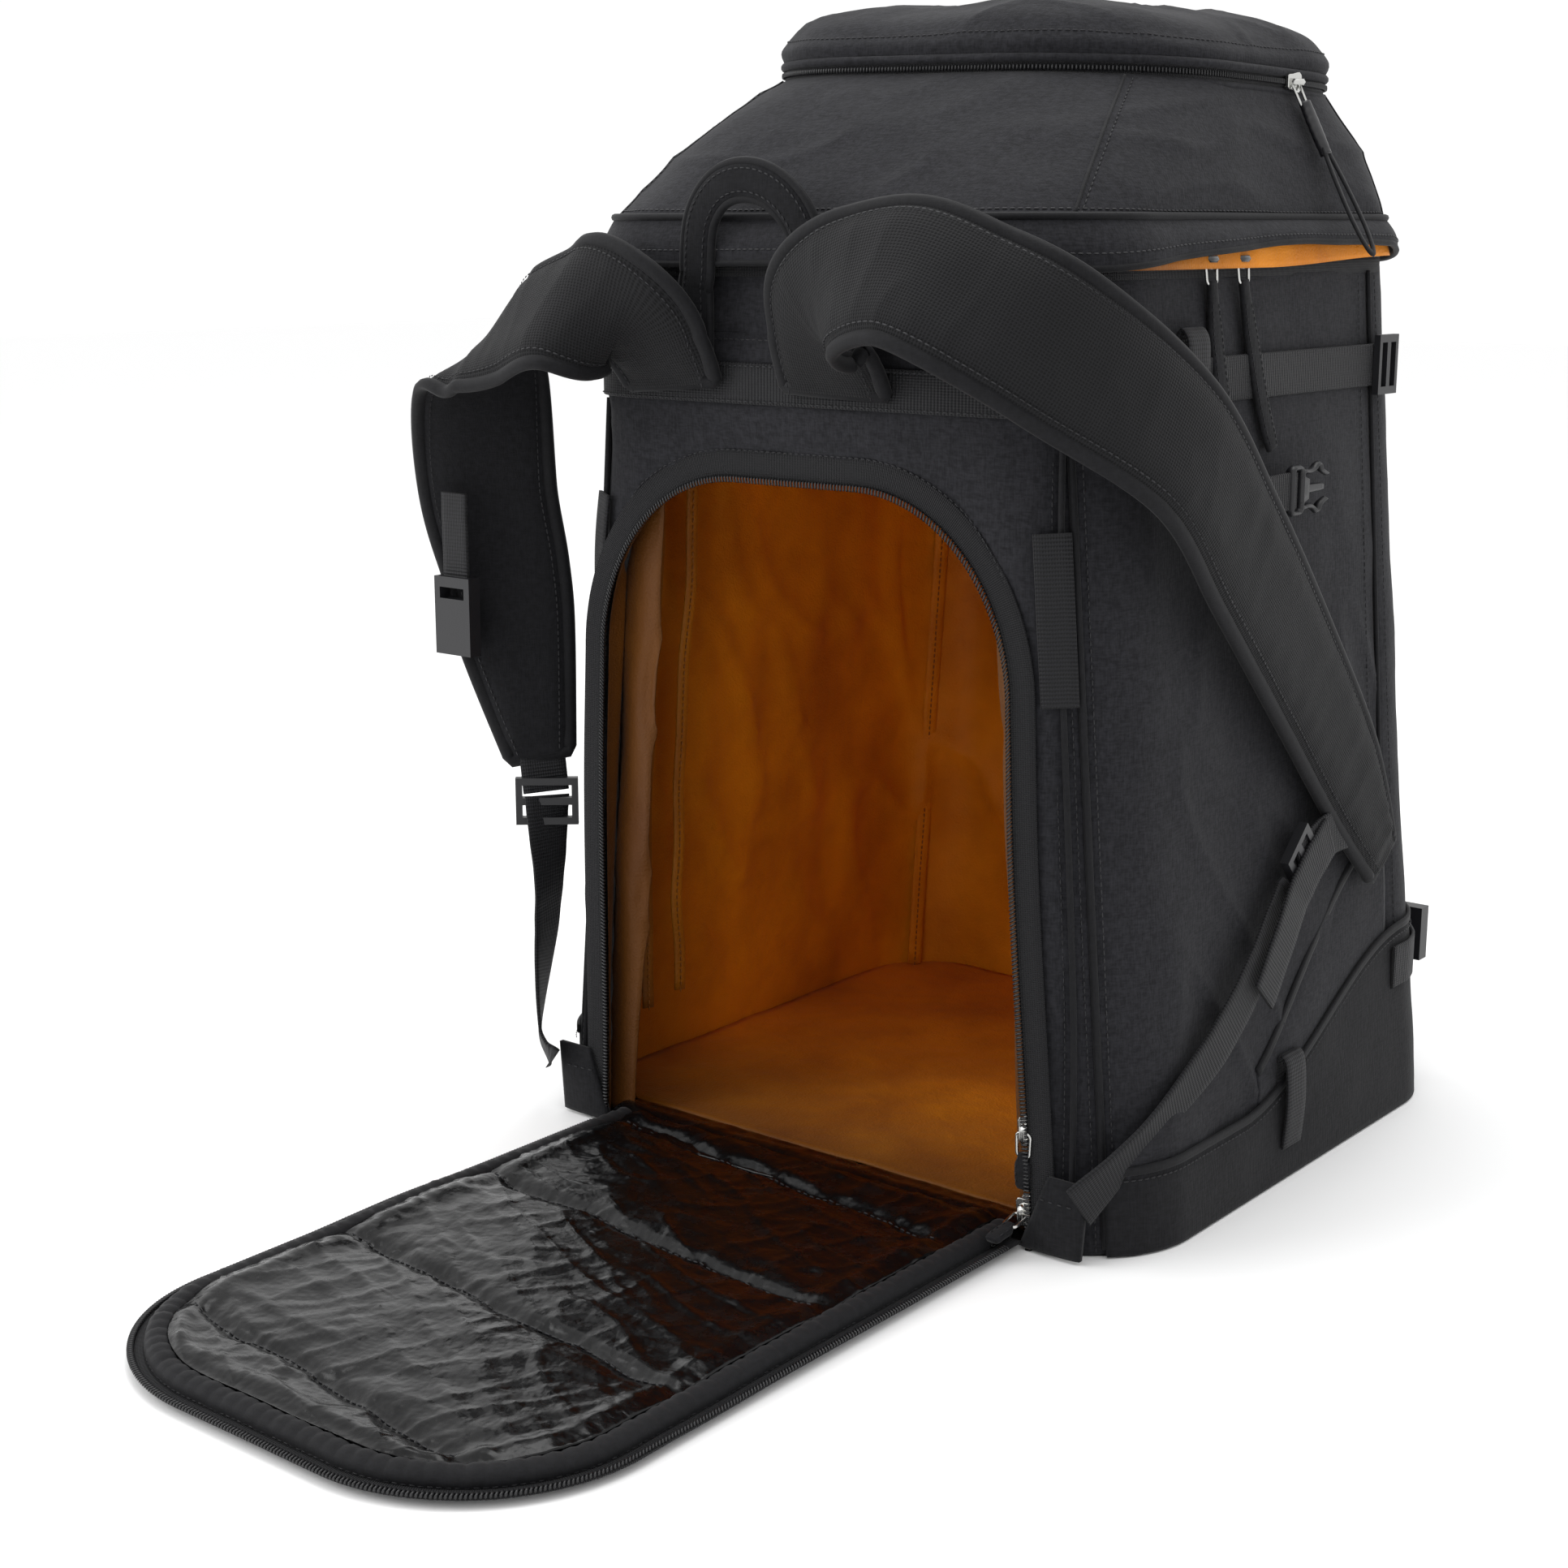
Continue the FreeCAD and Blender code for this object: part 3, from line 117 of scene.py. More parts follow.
# Sharp folds: ridges of noise, stretched along one axis.
def folds(p, seed, stretch, depth):
    q = Vector((p.x / stretch.x, p.y / stretch.y, p.z / stretch.z))
    ridge = 1 - abs(noise.noise(q + Vector((seed * 3.7, seed * 8.9, seed)))) * 2.4
    return depth * max(0.0, ridge) ** 3


# ---- mesh helpers

def keepMesh(name, points, faces, material, uvs=None, shade=True):
    mesh = bpy.data.meshes.new(name)
    mesh.from_pydata([tuple(p * metre) for p in points], [], faces)
    if uvs:
        layer = mesh.uv_layers.new(name="uv")
        for loop in mesh.loops:
            layer.data[loop.index].uv = uvs[loop.vertex_index]
    mesh.materials.append(material)
    mesh.polygons.foreach_set("use_smooth", [shade] * len(mesh.polygons))
    mesh.update()
    thing = bpy.data.objects.new(name, mesh)
    scene.collection.objects.link(thing)
    return thing


def faceOutward(thing):
    work = bmesh.new()
    work.from_mesh(thing.data)
    bmesh.ops.recalc_face_normals(work, faces=work.faces)
    work.to_mesh(thing.data)
    work.free()
    return thing


# A closed cloth sheet of the given thickness over a grid of points; at(u, v) gives (point, normal).
def makeSheet(name, columns, rows, at, thickness, material, loop=False):
    points = []
    uvs = []
    under = []
    for row in range(rows + 1):
        for column in range(columns + (0 if loop else 1)):
            u = column / columns
            v = row / rows
            point, normal = at(u, v)
            points.append(point)
            under.append(point - normal * thickness)
            uvs.append((u, v))
    wide = columns if loop else columns + 1
    count = len(points)
    faces = []
    for row in range(rows):
        for column in range(columns):
            a = row * wide + column
            b = row * wide + (column + 1) % wide
            faces.append((a, b, b + wide, a + wide))
            faces.append((count + a, count + a + wide, count + b + wide, count + b))
    edge = []
    last = rows * wide
    for column in range(columns):
        a = column
        b = (column + 1) % wide
        edge.append((b, a))
        edge.append((last + a, last + b))
    if not loop:
        for row in range(rows):
            edge.append((row * wide, (row + 1) * wide))
            edge.append(((row + 1) * wide + columns, row * wide + columns))
    for a, b in edge:
        faces.append((a, b, count + b, count + a))
    thing = keepMesh(name, points + under, faces, material, uvs + uvs)
    return faceOutward(thing)


def pathLengths(path, closed=False):
    lengths = [0.0]
    for index in range(1, len(path)):
        lengths.append(lengths[-1] + (path[index] - path[index - 1]).length)
    if closed:
        lengths.append(lengths[-1] + (path[0] - path[-1]).length)
    return lengths


# The same path as evenly spaced points.
def resample(path, count, closed=False):
    lengths = pathLengths(path, closed)
    whole = list(path) + ([path[0]] if closed else [])
    steps = count if closed else count - 1
    result = []
    place = 0
    for index in range(count):
        goal = lengths[-1] * index / steps
        while place < len(whole) - 2 and lengths[place + 1] < goal:
            place += 1
        span = max(lengths[place + 1] - lengths[place], 1e-6)
        result.append(whole[place].lerp(whole[place + 1], clamp((goal - lengths[place]) / span)))
    return result


# A smooth curve through a few points.
def curveThrough(points, perSpan=10):
    result = []
    last = len(points) - 1
    for index in range(last):
        p0 = points[max(index - 1, 0)]
        p1 = points[index]
        p2 = points[index + 1]
        p3 = points[min(index + 2, last)]
        for step in range(perSpan):
            t = step / perSpan
            a = p1 * 2
            b = (p2 - p0) * t
            c = (p0 * 2 - p1 * 5 + p2 * 4 - p3) * t * t
            d = (p1 * 3 - p0 - p2 * 3 + p3) * t * t * t
            result.append((a + b + c + d) / 2)
    result.append(points[last].copy())
    return result


def tangentAt(path, index, closed=False):
    count = len(path)
    if closed:
        return (path[(index + 1) % count] - path[index - 1]).normalized()
    return (path[min(index + 1, count - 1)] - path[max(index - 1, 0)]).normalized()


# Sweep an outline of (across, out) pairs along a path; outs are the outward directions.
def sweep(name, path, outs, outline, material, closed=False, scaleAt=None):
    points = []
    uvs = []
    lengths = pathLengths(path, closed)
    ring = len(outline)
    around = [0.0]
    for index in range(1, ring):
        a = Vector(outline[index]) - Vector(outline[index - 1])
        around.append(around[-1] + a.length)
    for index, centre in enumerate(path):
        run = tangentAt(path, index, closed)
        out = outs[index] if isinstance(outs, list) else outs
        across = out.cross(run).normalized()
        out = run.cross(across).normalized()
        scale = scaleAt(index / (len(path) - 1)) if scaleAt else 1.0
        for number, (side, up) in enumerate(outline):
            points.append(centre + across * (side * scale) + out * up)
            uvs.append((around[number] * metre, lengths[index] * metre))
    faces = []
    spans = len(path) if closed else len(path) - 1
    for index in range(spans):
        for number in range(ring):
            a = index * ring + number
            b = index * ring + (number + 1) % ring
            c = ((index + 1) % len(path)) * ring
            faces.append((a, b, c + (number + 1) % ring, c + number))
    if not closed:
        faces.append(tuple(range(ring)))
        faces.append(tuple(reversed([(len(path) - 1) * ring + number for number in range(ring)])))
    thing = keepMesh(name, points, faces, material, uvs)
    return faceOutward(thing)


def roundOutline(radius, sides=8, squash=1.0):
    turns = [2 * math.pi * index / sides for index in range(sides)]
    return [(radius * math.cos(turn), radius * squash * math.sin(turn)) for turn in turns]


# Flat outline with softly rounded edges, with points across the face to take folds.
def flatOutline(width, thickness, steps=6, crown=0.0):
    half = width / 2
    lift = thickness / 2
    top = []
    for index in range(steps + 1):
        share = index / steps * 2 - 1
        top.append((share * (half - lift * 0.6), lift + crown * (1 - share * share)))
    bottom = [(x, -y) for x, y in reversed(top)]
    return [(-half, 0)] + top + [(half, 0)] + bottom


def joinAll(name, things):
    work = bmesh.new()
    for thing in things:
        work.from_mesh(thing.data)
    mesh = bpy.data.meshes.new(name)
    work.to_mesh(mesh)
    work.free()
    mesh.materials.append(things[0].data.materials[0])
    result = bpy.data.objects.new(name, mesh)
    scene.collection.objects.link(result)
    for thing in things:
        bpy.data.objects.remove(thing)
    return result


# Row of sewn stitches lying on a surface: short rounded threads with gaps between.
def makeStitches(name, runs, material, pitch=3.6, long=2.7, thick=0.42):
    points = []
    faces = []
    ends = [(-0.5, 0.15), (-0.3, 1.0), (0.3, 1.0), (0.5, 0.15)]
    for path, outs in runs:
        total = pathLengths(path)[-1]
        count = max(int(total / pitch), 2)
        spots = resample(path, count)
        normals = resample(outs, count) if isinstance(outs, list) else [outs] * count
        for index in range(count - 1):
            run = (spots[index + 1] - spots[index])
            if run.length < 1e-6:
                continue
            run.normalize()
            out = normals[index].normalized()
            across = out.cross(run).normalized()
            first = len(points)
            for along, fat in ends:
                middle = spots[index] + run * (along * long) + out * (thick * 0.35 * fat)
                for side, up in ((-1, -0.4), (0, 0.8), (1, -0.4)):
                    points.append(middle + across * (side * thick * fat) + out * (up * thick * fat))
            for ring in range(3):
                for number in range(3):
                    a = first + ring * 3 + number
                    b = first + ring * 3 + (number + 1) % 3
                    faces.append((a, b, b + 3, a + 3))
    return faceOutward(keepMesh(name, points, faces, material))


# Coil zip teeth: rounded loops standing across a line, each leaning a little.
def makeTeeth(name, path, outs, sideways, material, pitch=1.9, reach=3.0, thick=0.62, lift=0.9):
    count = int(pathLengths(path)[-1] / pitch)
    spots = resample(path, count)
    normals = resample(outs, count) if isinstance(outs, list) else [outs] * count
    edges = resample(sideways, count) if isinstance(sideways, list) else [sideways] * count
    profile = [(0.0, 0.1), (0.12, 0.85), (0.55, 1.0), (0.9, 0.8), (1.0, 0.2)]
    points = []
    faces = []
    for index in range(count):
        run = tangentAt(spots, index)
        out = normals[index].normalized()
        side = edges[index].normalized()
        first = len(points)
        for share, high in profile:
            middle = spots[index] + side * (share * reach) + out * (high * lift)
            for a, b in ((-1, 0), (0, 1), (1, 0), (0, -1)):
                points.append(middle + run * (a * thick) + out * (b * thick))
        for ring in range(len(profile) - 1):
            for number in range(4):
                a = first + ring * 4 + number
                b = first + ring * 4 + (number + 1) % 4
                faces.append((a, b, b + 4, a + 4))
        last = first + 4 * (len(profile) - 1)
        faces.append((first + 3, first + 2, first + 1, first))
        faces.append((last, last + 1, last + 2, last + 3))
    return faceOutward(keepMesh(name, points, faces, material))


# Rounded block between two corners, turned by a matrix about a point.
def makeBlock(name, low, high, material, slotName=None, bevel=0.6, turn=None, about=None):
    work = bmesh.new()
    bmesh.ops.create_cube(work, size=1)
    centre = (Vector(low) + Vector(high)) / 2
    spread = Vector(high) - Vector(low)
    for vert in work.verts:
        vert.co = Vector([centre[i] + vert.co[i] * spread[i] for i in range(3)])
    bmesh.ops.bevel(work, geom=work.edges[:], offset=bevel, offset_type="OFFSET", segments=2,
                    profile=0.5, affect="EDGES", material=-1)
    if turn is not None:
        about = Vector(about)
        for vert in work.verts:
            vert.co = turn @ (vert.co - about) + about
    for vert in work.verts:
        vert.co *= metre
    mesh = bpy.data.meshes.new(name)
    work.to_mesh(mesh)
    work.free()
    mesh.materials.append(material)
    mesh.polygons.foreach_set("use_smooth", [True] * len(mesh.polygons))
    thing = bpy.data.objects.new(name, mesh)
    scene.collection.objects.link(thing)
    return thing


def ride(thing, body, *nodes):
    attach(thing, body)
    if nodes:
        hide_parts(*nodes)
    return thing


# ---- materials

def hexColour(text):
    values = [int(text[index:index + 2], 16) / 255 for index in (1, 3, 5)]
    linear = [v / 12.92 if v <= 0.04045 else ((v + 0.055) / 1.055) ** 2.4 for v in values]
    return linear + [1.0]


def addNode(tree, kind, **settings):
    node = tree.nodes.new(kind)
    for key, value in settings.items():
        if hasattr(node, key):
            setattr(node, key, value)
        else:
            node.inputs[key.replace("_", " ")].default_value = value
    return node


def startMaterial(name, rough, sheen=0.0, coat=0.0, metal=0.0, specular=0.5):
    material = bpy.data.materials.new(name)
    material.use_nodes = True
    tree = material.node_tree
    shader = tree.nodes["Principled BSDF"]
    shader.inputs["Roughness"].default_value = rough
    shader.inputs["Sheen Weight"].default_value = sheen
    shader.inputs["Sheen Roughness"].default_value = 0.5
    shader.inputs["Coat Weight"].default_value = coat
    shader.inputs["Coat Roughness"].default_value = 0.12
    shader.inputs["Metallic"].default_value = metal
    shader.inputs["Specular IOR Level"].default_value = specular
    return material, tree, shader


def mixColours(tree, factor, first, second):
    blend = addNode(tree, "ShaderNodeMix", data_type="RGBA")
    tree.links.new(factor, blend.inputs[0])
    for socket, value in ((6, first), (7, second)):
        if isinstance(value, list):
            blend.inputs[socket].default_value = value
        else:
            tree.links.new(value, blend.inputs[socket])
    return blend.outputs[2]


def rampFrom(tree, value, low, high):
    spread = addNode(tree, "ShaderNodeMapRange")
    tree.links.new(value, spread.inputs["Value"])
    spread.inputs["From Min"].default_value = low
    spread.inputs["From Max"].default_value = high
    return spread.outputs["Result"]


def objectPlace(tree):
    return addNode(tree, "ShaderNodeTexCoord").outputs["Object"]


def addNoise(tree, place, perMetre, detail=2.0, rough=0.5):
    texture = addNode(tree, "ShaderNodeTexNoise", Scale=perMetre, Detail=detail, Roughness=rough)
    tree.links.new(place, texture.inputs["Vector"])
    return texture.outputs["Fac"]


def addWave(tree, place, perMetre, direction, distortion=0.0):
    texture = addNode(tree, "ShaderNodeTexWave", bands_direction=direction, Scale=perMetre,
                      Distortion=distortion)
    tree.links.new(place, texture.inputs["Vector"])
    return texture.outputs["Fac"]


# Noise drawn out along one axis, like the yarns of a cloth; sizes in millimetres.
def addYarn(tree, place, sizeMm):
    stretch = addNode(tree, "ShaderNodeMapping")
    stretch.inputs["Scale"].default_value = [1 / (length * metre) for length in sizeMm]
    tree.links.new(place, stretch.inputs["Vector"])
    texture = addNode(tree, "ShaderNodeTexNoise", Scale=1.0, Detail=1.0)
    tree.links.new(stretch.outputs["Vector"], texture.inputs["Vector"])
    return texture.outputs["Fac"]


def addMath(tree, operation, first, second):
    node = addNode(tree, "ShaderNodeMath", operation=operation)
    for index, value in enumerate((first, second)):
        if isinstance(value, (int, float)):
            node.inputs[index].default_value = value
        else:
            tree.links.new(value, node.inputs[index])
    return node.outputs[0]


def addBump(tree, shader, height, distance, strength=1.0, before=None):
    bump = addNode(tree, "ShaderNodeBump", Distance=distance, Strength=strength)
    tree.links.new(height, bump.inputs["Height"])
    if before:
        tree.links.new(before, bump.inputs["Normal"])
    tree.links.new(bump.outputs["Normal"], shader.inputs["Normal"])
    return bump.outputs["Normal"]


# wave textures repeat 20 / (2 pi) times in one unit at scale 1, so this gives bands per metre
waveBands = 2 * math.pi / 20


# Woven cloth: heathered yarns of two shades with a plain weave raised over the surface.
def makeCanvas(name, dark, light, yarnMm=0.9, rough=0.85, sheen=0.05, weave=0.00022, slub=0.6):
    material, tree, shader = startMaterial(name, rough, sheen, specular=0.18)
    place = objectPlace(tree)
    heather = addNoise(tree, place, 1 / (3.2 * metre), 3.0, 0.65)
    broad = addNoise(tree, place, 1 / (90 * metre), 2.0)
    cross = addMath(tree, "ADD", addYarn(tree, place, (yarnMm, yarnMm, yarnMm * 7)),
                    addYarn(tree, place, (yarnMm * 5, yarnMm * 5, yarnMm)))
    share = addMath(tree, "ADD", rampFrom(tree, heather, 0.38, 0.66), addMath(tree, "MULTIPLY", broad, slub))
    share = addMath(tree, "ADD", share, rampFrom(tree, cross, 0.8, 1.2))
    share = addMath(tree, "MULTIPLY", share, 0.36)
    tree.links.new(mixColours(tree, share, hexColour(dark), hexColour(light)), shader.inputs["Base Color"])
    upright = addYarn(tree, place, (yarnMm, yarnMm, yarnMm * 7))
    level = addYarn(tree, place, (yarnMm * 5, yarnMm * 5, yarnMm))
    weaveHeight = addMath(tree, "ADD", upright, level)
    height = addMath(tree, "ADD", weaveHeight, addMath(tree, "MULTIPLY", heather, 0.6))
    addBump(tree, shader, height, weave, 0.8)
    return material


# Ribbed tape: fine bands across the run with darker gaps, from the piece's own lengths.
def makeWebbing(name, dark, light, ribMm=1.9, rough=0.62):
    material, tree, shader = startMaterial(name, rough, 0.04, specular=0.25)
    lengths = addNode(tree, "ShaderNodeUVMap").outputs["UV"]
    rib = addWave(tree, lengths, waveBands / (ribMm * metre), "Y", 0.3)
    cross = addWave(tree, lengths, waveBands / (1.3 * metre), "X")
    height = addMath(tree, "ADD", rib, addMath(tree, "MULTIPLY", cross, 0.45))
    tree.links.new(mixColours(tree, height, hexColour(dark), hexColour(light)), shader.inputs["Base Color"])
    addBump(tree, shader, height, 0.00045, 1.0)
    return material


# Spacer mesh: a close grid of small rounded holes.
def makeMesh(name, dark, light, cellMm=1.5):
    material, tree, shader = startMaterial(name, 0.78, 0.04, specular=0.2)
    lengths = addNode(tree, "ShaderNodeUVMap").outputs["UV"]
    cells = addNode(tree, "ShaderNodeTexVoronoi", Scale=1 / (cellMm * metre), Randomness=0.12)
    tree.links.new(lengths, cells.inputs["Vector"])
    hole = rampFrom(tree, cells.outputs["Distance"], 0.12, 0.5)
    tree.links.new(mixColours(tree, hole, hexColour(dark), hexColour(light)), shader.inputs["Base Color"])
    addBump(tree, shader, hole, 0.0004, 0.8)
    return material


# Coated sheet: glossy, with a fine crinkle and scuffs that break the shine.
def makeTarpaulin(name, dark, light):
    material, tree, shader = startMaterial(name, 0.3, coat=0.09, specular=0.24)
    place = objectPlace(tree)
    fine = addNoise(tree, place, 1 / (5 * metre), 4.0, 0.6)
    crinkle = addNode(tree, "ShaderNodeTexVoronoi", feature="DISTANCE_TO_EDGE", Scale=1 / (26 * metre))
    tree.links.new(place, crinkle.inputs["Vector"])
    warped = addNoise(tree, place, 1 / (22 * metre), 3.0, 0.7)
    scuff = addNoise(tree, place, 1 / (14 * metre), 5.0, 0.7)
    tree.links.new(mixColours(tree, rampFrom(tree, scuff, 0.55, 0.75), hexColour(dark), hexColour(light)),
                   shader.inputs["Base Color"])
    tree.links.new(addMath(tree, "ADD", addMath(tree, "MULTIPLY", scuff, 0.35), 0.08), shader.inputs["Roughness"])
    edges = rampFrom(tree, crinkle.outputs["Distance"], 0.0, 0.16)
    height = addMath(tree, "ADD", addMath(tree, "MULTIPLY", warped, 2.0), addMath(tree, "MULTIPLY", fine, 0.25))
    height = addMath(tree, "ADD", height, addMath(tree, "MULTIPLY", edges, 0.3))
    addBump(tree, shader, height, 0.0009, 0.8)
    return material


# Thin coated nylon: creased, patchy in colour, and browner near the doorway, where painted shade
# stands in for the shadow the lining has there.
def makeNylon(name, dark, light, paintedShade):
    material, tree, shader = startMaterial(name, 0.55, 0.03, specular=0.2)
    place = objectPlace(tree)
    broad = addNoise(tree, place, 1 / (70 * metre), 3.0, 0.6)
    fine = addNoise(tree, place, 1 / (1.2 * metre), 2.0)
    share = addMath(tree, "ADD", rampFrom(tree, broad, 0.3, 0.7), addMath(tree, "MULTIPLY", fine, 0.12))
    clean = mixColours(tree, share, hexColour(dark), hexColour(light))
    across = addNode(tree, "ShaderNodeSeparateXYZ")
    tree.links.new(place, across.inputs[0])
    # painted shade: darker towards the doorway along object Y, on every piece of this lining
    inward = rampFrom(tree, across.outputs["Y"], -0.175, -0.02)
    tree.links.new(mixColours(tree, inward, hexColour(paintedShade), clean), shader.inputs["Base Color"])
    creases = addNoise(tree, place, 1 / (16 * metre), 4.0, 0.6)
    height = addMath(tree, "ADD", addMath(tree, "MULTIPLY", creases, 3.0), fine)
    addBump(tree, shader, height, 0.0006, 0.7)
    return material


def makePlain(name, colour, rough, metal=0.0, coat=0.0, grainMm=0.0, grain=0.0001):
    material, tree, shader = startMaterial(name, rough, coat=coat, metal=metal)
    shader.inputs["Base Color"].default_value = hexColour(colour)
    if grainMm:
        addBump(tree, shader, addNoise(tree, objectPlace(tree), 1 / (grainMm * metre), 3.0), grain, 0.6)
    return material


# charcoal heather polyester; the eye gets a matt dark cloth with a fine grey fleck
canvas = makeCanvas("heather_canvas", "#101013", "#2a2a2e")
# black 600 denier polyester for flaps and guards; a little flatter than the heather
denier = makeCanvas("denier_polyester", "#0d0d0f", "#1d1d20", yarnMm=1.1, slub=0.35)
# smooth black bias binding; the eye gets a soft satin edge
binding = makeCanvas("bias_binding", "#0b0b0d", "#18181b", yarnMm=0.7, rough=0.7, weave=0.0001)
webbing = makeWebbing("ribbed_webbing", "#060607", "#1c1c1f")
airMesh = makeMesh("air_mesh", "#050506", "#18181a")
padCloth = makeCanvas("pad_cloth", "#0c0c0e", "#1c1c1f", yarnMm=0.8, rough=0.88)
# orange gold nylon; bright where lit, brown in the folds; the last colour is painted shade near the doorway
lining = makeNylon("orange_nylon", "#b46507", "#dc860d", "#3a1e02")

# black coated tarpaulin; sharp crinkled highlights
tarpaulin = makeTarpaulin("black_tarpaulin", "#060607", "#121213")
# satin black coil and tape
coil = makePlain("nylon_coil", "#1b1b1d", 0.38)
tape = makeWebbing("zip_tape", "#0b0b0c", "#1b1b1e", 1.0, 0.7)
# polished nickel on zinc; small sharp highlights
nickel = makePlain("nickel_plate", "#c9c9c6", 0.22, metal=1.0)
enamel = makePlain("black_enamel", "#121214", 0.25, coat=0.6)
# moulded acetal with a faint satin grain
acetal = makePlain("black_acetal", "#17171a", 0.42, grainMm=1.2)
thread = makePlain("black_thread", "#1e1e21", 0.6)
orangeThread = makePlain("orange_thread", "#8a5110", 0.6)
print("materials made")

# ---- body of the bag

# A place on the outside of the tapering body. Turns count from the middle of the back: 1 to 2 is
# the back corner, 2 to 3 the side, 3 to 4 the front corner; minus is the left side.
def bodyPlace(turn, z, grow=0.0):
    side = 1 if turn >= 0 else -1
    turn = abs(turn)
    half = halfAt(z) + grow
    front = frontAt(z) + grow
    back = backY - grow
    radius = cornerRadius + grow
    if turn < 1:
        x, y, nx, ny = turn * (half - radius), back, 0, -1
    elif turn < 2:
        angle = (turn - 1) * math.pi / 2
        nx, ny = math.sin(angle), -math.cos(angle)
        x, y = half - radius + radius * nx, back + radius + radius * ny
    elif turn < 3:
        x, y, nx, ny = half, mix(back + radius, front - radius, turn - 2), 1, 0
    elif turn < 4:
        angle = (turn - 3) * math.pi / 2
        nx, ny = math.cos(angle), math.sin(angle)
        x, y = half - radius + radius * nx, front - radius + radius * ny
    else:
        x, y, nx, ny = (5 - turn) * (half - radius), front, 0, 1
    return Vector((side * x, y, z)), Vector((side * nx, ny, 0))


def turnAtSide(y, z):
    return 2 + (y - backY - cornerRadius) / (frontAt(z) - backY - 2 * cornerRadius)


seamTurn = 1 + 2 / math.pi * math.asin((cornerRadius - 18) / cornerRadius)
frontSeamY = 110


def seamFall(distance, reach=7.0):
    return 1 - math.exp(-max(distance, 0) / reach)


# How far the cloth of a side stands out at one place: full between its seams, slack lower down.
def sideSwell(p, u, v, seed):
    edge = min(u, 1 - u) * 300
    low = min(v, 1 - v) * 460
    swell = 2.2 * seamFall(edge, 16) * seamFall(low, 20) - 1.0
    swell += cloth(p, seed, 2.4, 0.8, 0.2) * seamFall(edge, 10)
    slack = Vector((300, 60, 120))
    swell += folds(p + Vector((0, p.z * 0.5, 0)), seed, slack, 2.0) * smooth((0.85 - v) * 3)
    return swell


def makeSidePanel(name, side, seed, node):
    def at(u, v):
        z = mix(0.5, rimHigh, v)
        last = turnAtSide(frontSeamY, z)
        p, n = bodyPlace(side * mix(seamTurn, last, u), z)
        return p + n * sideSwell(p, u, v, seed), n

    panel = makeSheet(name, 110, 130, at, 3.0, canvas)
    ride(panel, "bag", node)
    return panel


makeSidePanel("side_cloth_right", 1, 3, "side_panel_right")
makeSidePanel("side_cloth_left", -1, 4, "side_panel_left")


def frontCloth(u, v):
    z = mix(0.5, rimHigh, v)
    last = turnAtSide(frontSeamY, z)
    turn = mix(last, 10 - last, u)
    p, n = bodyPlace(turn if turn <= 5 else turn - 10, z)
    edge = min(u, 1 - u) * 400
    swell = 2.0 * seamFall(edge, 16) - 1.0 + cloth(p, 8, 2.0, 0.7) * seamFall(edge)
    return p + n * swell, n


frontPanel = makeSheet("front_cloth", 110, 100, frontCloth, 3.0, canvas)
ride(frontPanel, "bag", "front_panel")

# doorway outline: legs leaning in to a rounded top, as (x, z), grown outwards
archFootHalf = 139
archWaistHalf = 127
archWaist = 262
archTop = 359
archFlatHalf = 38
archLean = -7                   # the slack doorway hangs a little to the left


def archPoints(grow=0.0, count=200):
    line = []
    for step in range(12):
        share = step / 12
        line.append(Vector((-mix(archFootHalf, archWaistHalf, share) - grow, 0, archWaist * share)))
    for step in range(25):
        angle = math.pi / 2 * step / 24
        x = archFlatHalf + (archWaistHalf - archFlatHalf + grow) * math.cos(angle)
        line.append(Vector((-x, 0, archWaist + (archTop - archWaist + grow) * math.sin(angle))))
    right = [Vector((-p.x, 0, p.z)) for p in reversed(line)]
    return [p + Vector((archLean * smooth(p.z / 220), 0, 0)) for p in resample(line + right, count)]


# The back surface at a place given by x and z, following the rounded corners.
def backPlace(x, z):
    over = abs(x) - (halfAt(z) - cornerRadius)
    if over <= 0:
        return Vector((x, backY, z)), Vector((0, -1, 0))
    over = min(over, cornerRadius - 1)
    rise = math.sqrt(cornerRadius ** 2 - over ** 2)
    normal = Vector((math.copysign(over, x), -rise, 0)) / cornerRadius
    return Vector((x, backY + cornerRadius - rise, z)), normal


archCount = 240
archEdge = archPoints(9.0, archCount + 1)
rimEdge = resample([
    Vector((-(baseHalf - 18), 0, 1)), Vector((-(rimHalf - 18), 0, rimHigh)),
    Vector((rimHalf - 18, 0, rimHigh)), Vector((baseHalf - 18, 0, 1)),
], archCount + 1)


def backCloth(u, v):
    index = min(int(round(u * archCount)), archCount)
    flat = archEdge[index].lerp(rimEdge[index], v)
    p, n = backPlace(flat.x, max(flat.z, 0.5))
    gap = (rimEdge[index] - archEdge[index]).length
    edge = min(v, 1 - v) * gap
    pucker = 0.5 * math.sin(u * archCount * 0.9) * math.exp(-v * gap / 7)
    swell = 3.4 * seamFall(edge, 9) - 1.2 + pucker
    swell += cloth(p, 11, 1.8, 0.9, 0.25) * seamFall(edge)
    # the gusset seam pulls the padding in along its length
    seam = abs(flat.x) - mix(158, 137, clamp(flat.z / 394))
    swell -= 2.2 * math.exp(-(seam / 5) ** 2) * smooth((400 - flat.z) / 30)
    # horizontal creases where the cloth bears on the strap band
    swell += folds(p, 5, Vector((70, 60, 16)), 1.4) * smooth((p.z - 370) / 25)
    return p + n * swell, n


backPanel = makeSheet("back_cloth", archCount, 30, backCloth, 7.0, canvas)
ride(backPanel, "bag", "back_panel")

# frame side of the door zip: its tape, the coil on it and a sewn edge
outBack = Vector((0, -1, 0))


def onBack(line, y):
    return [Vector((p.x, y, p.z)) for p in line]


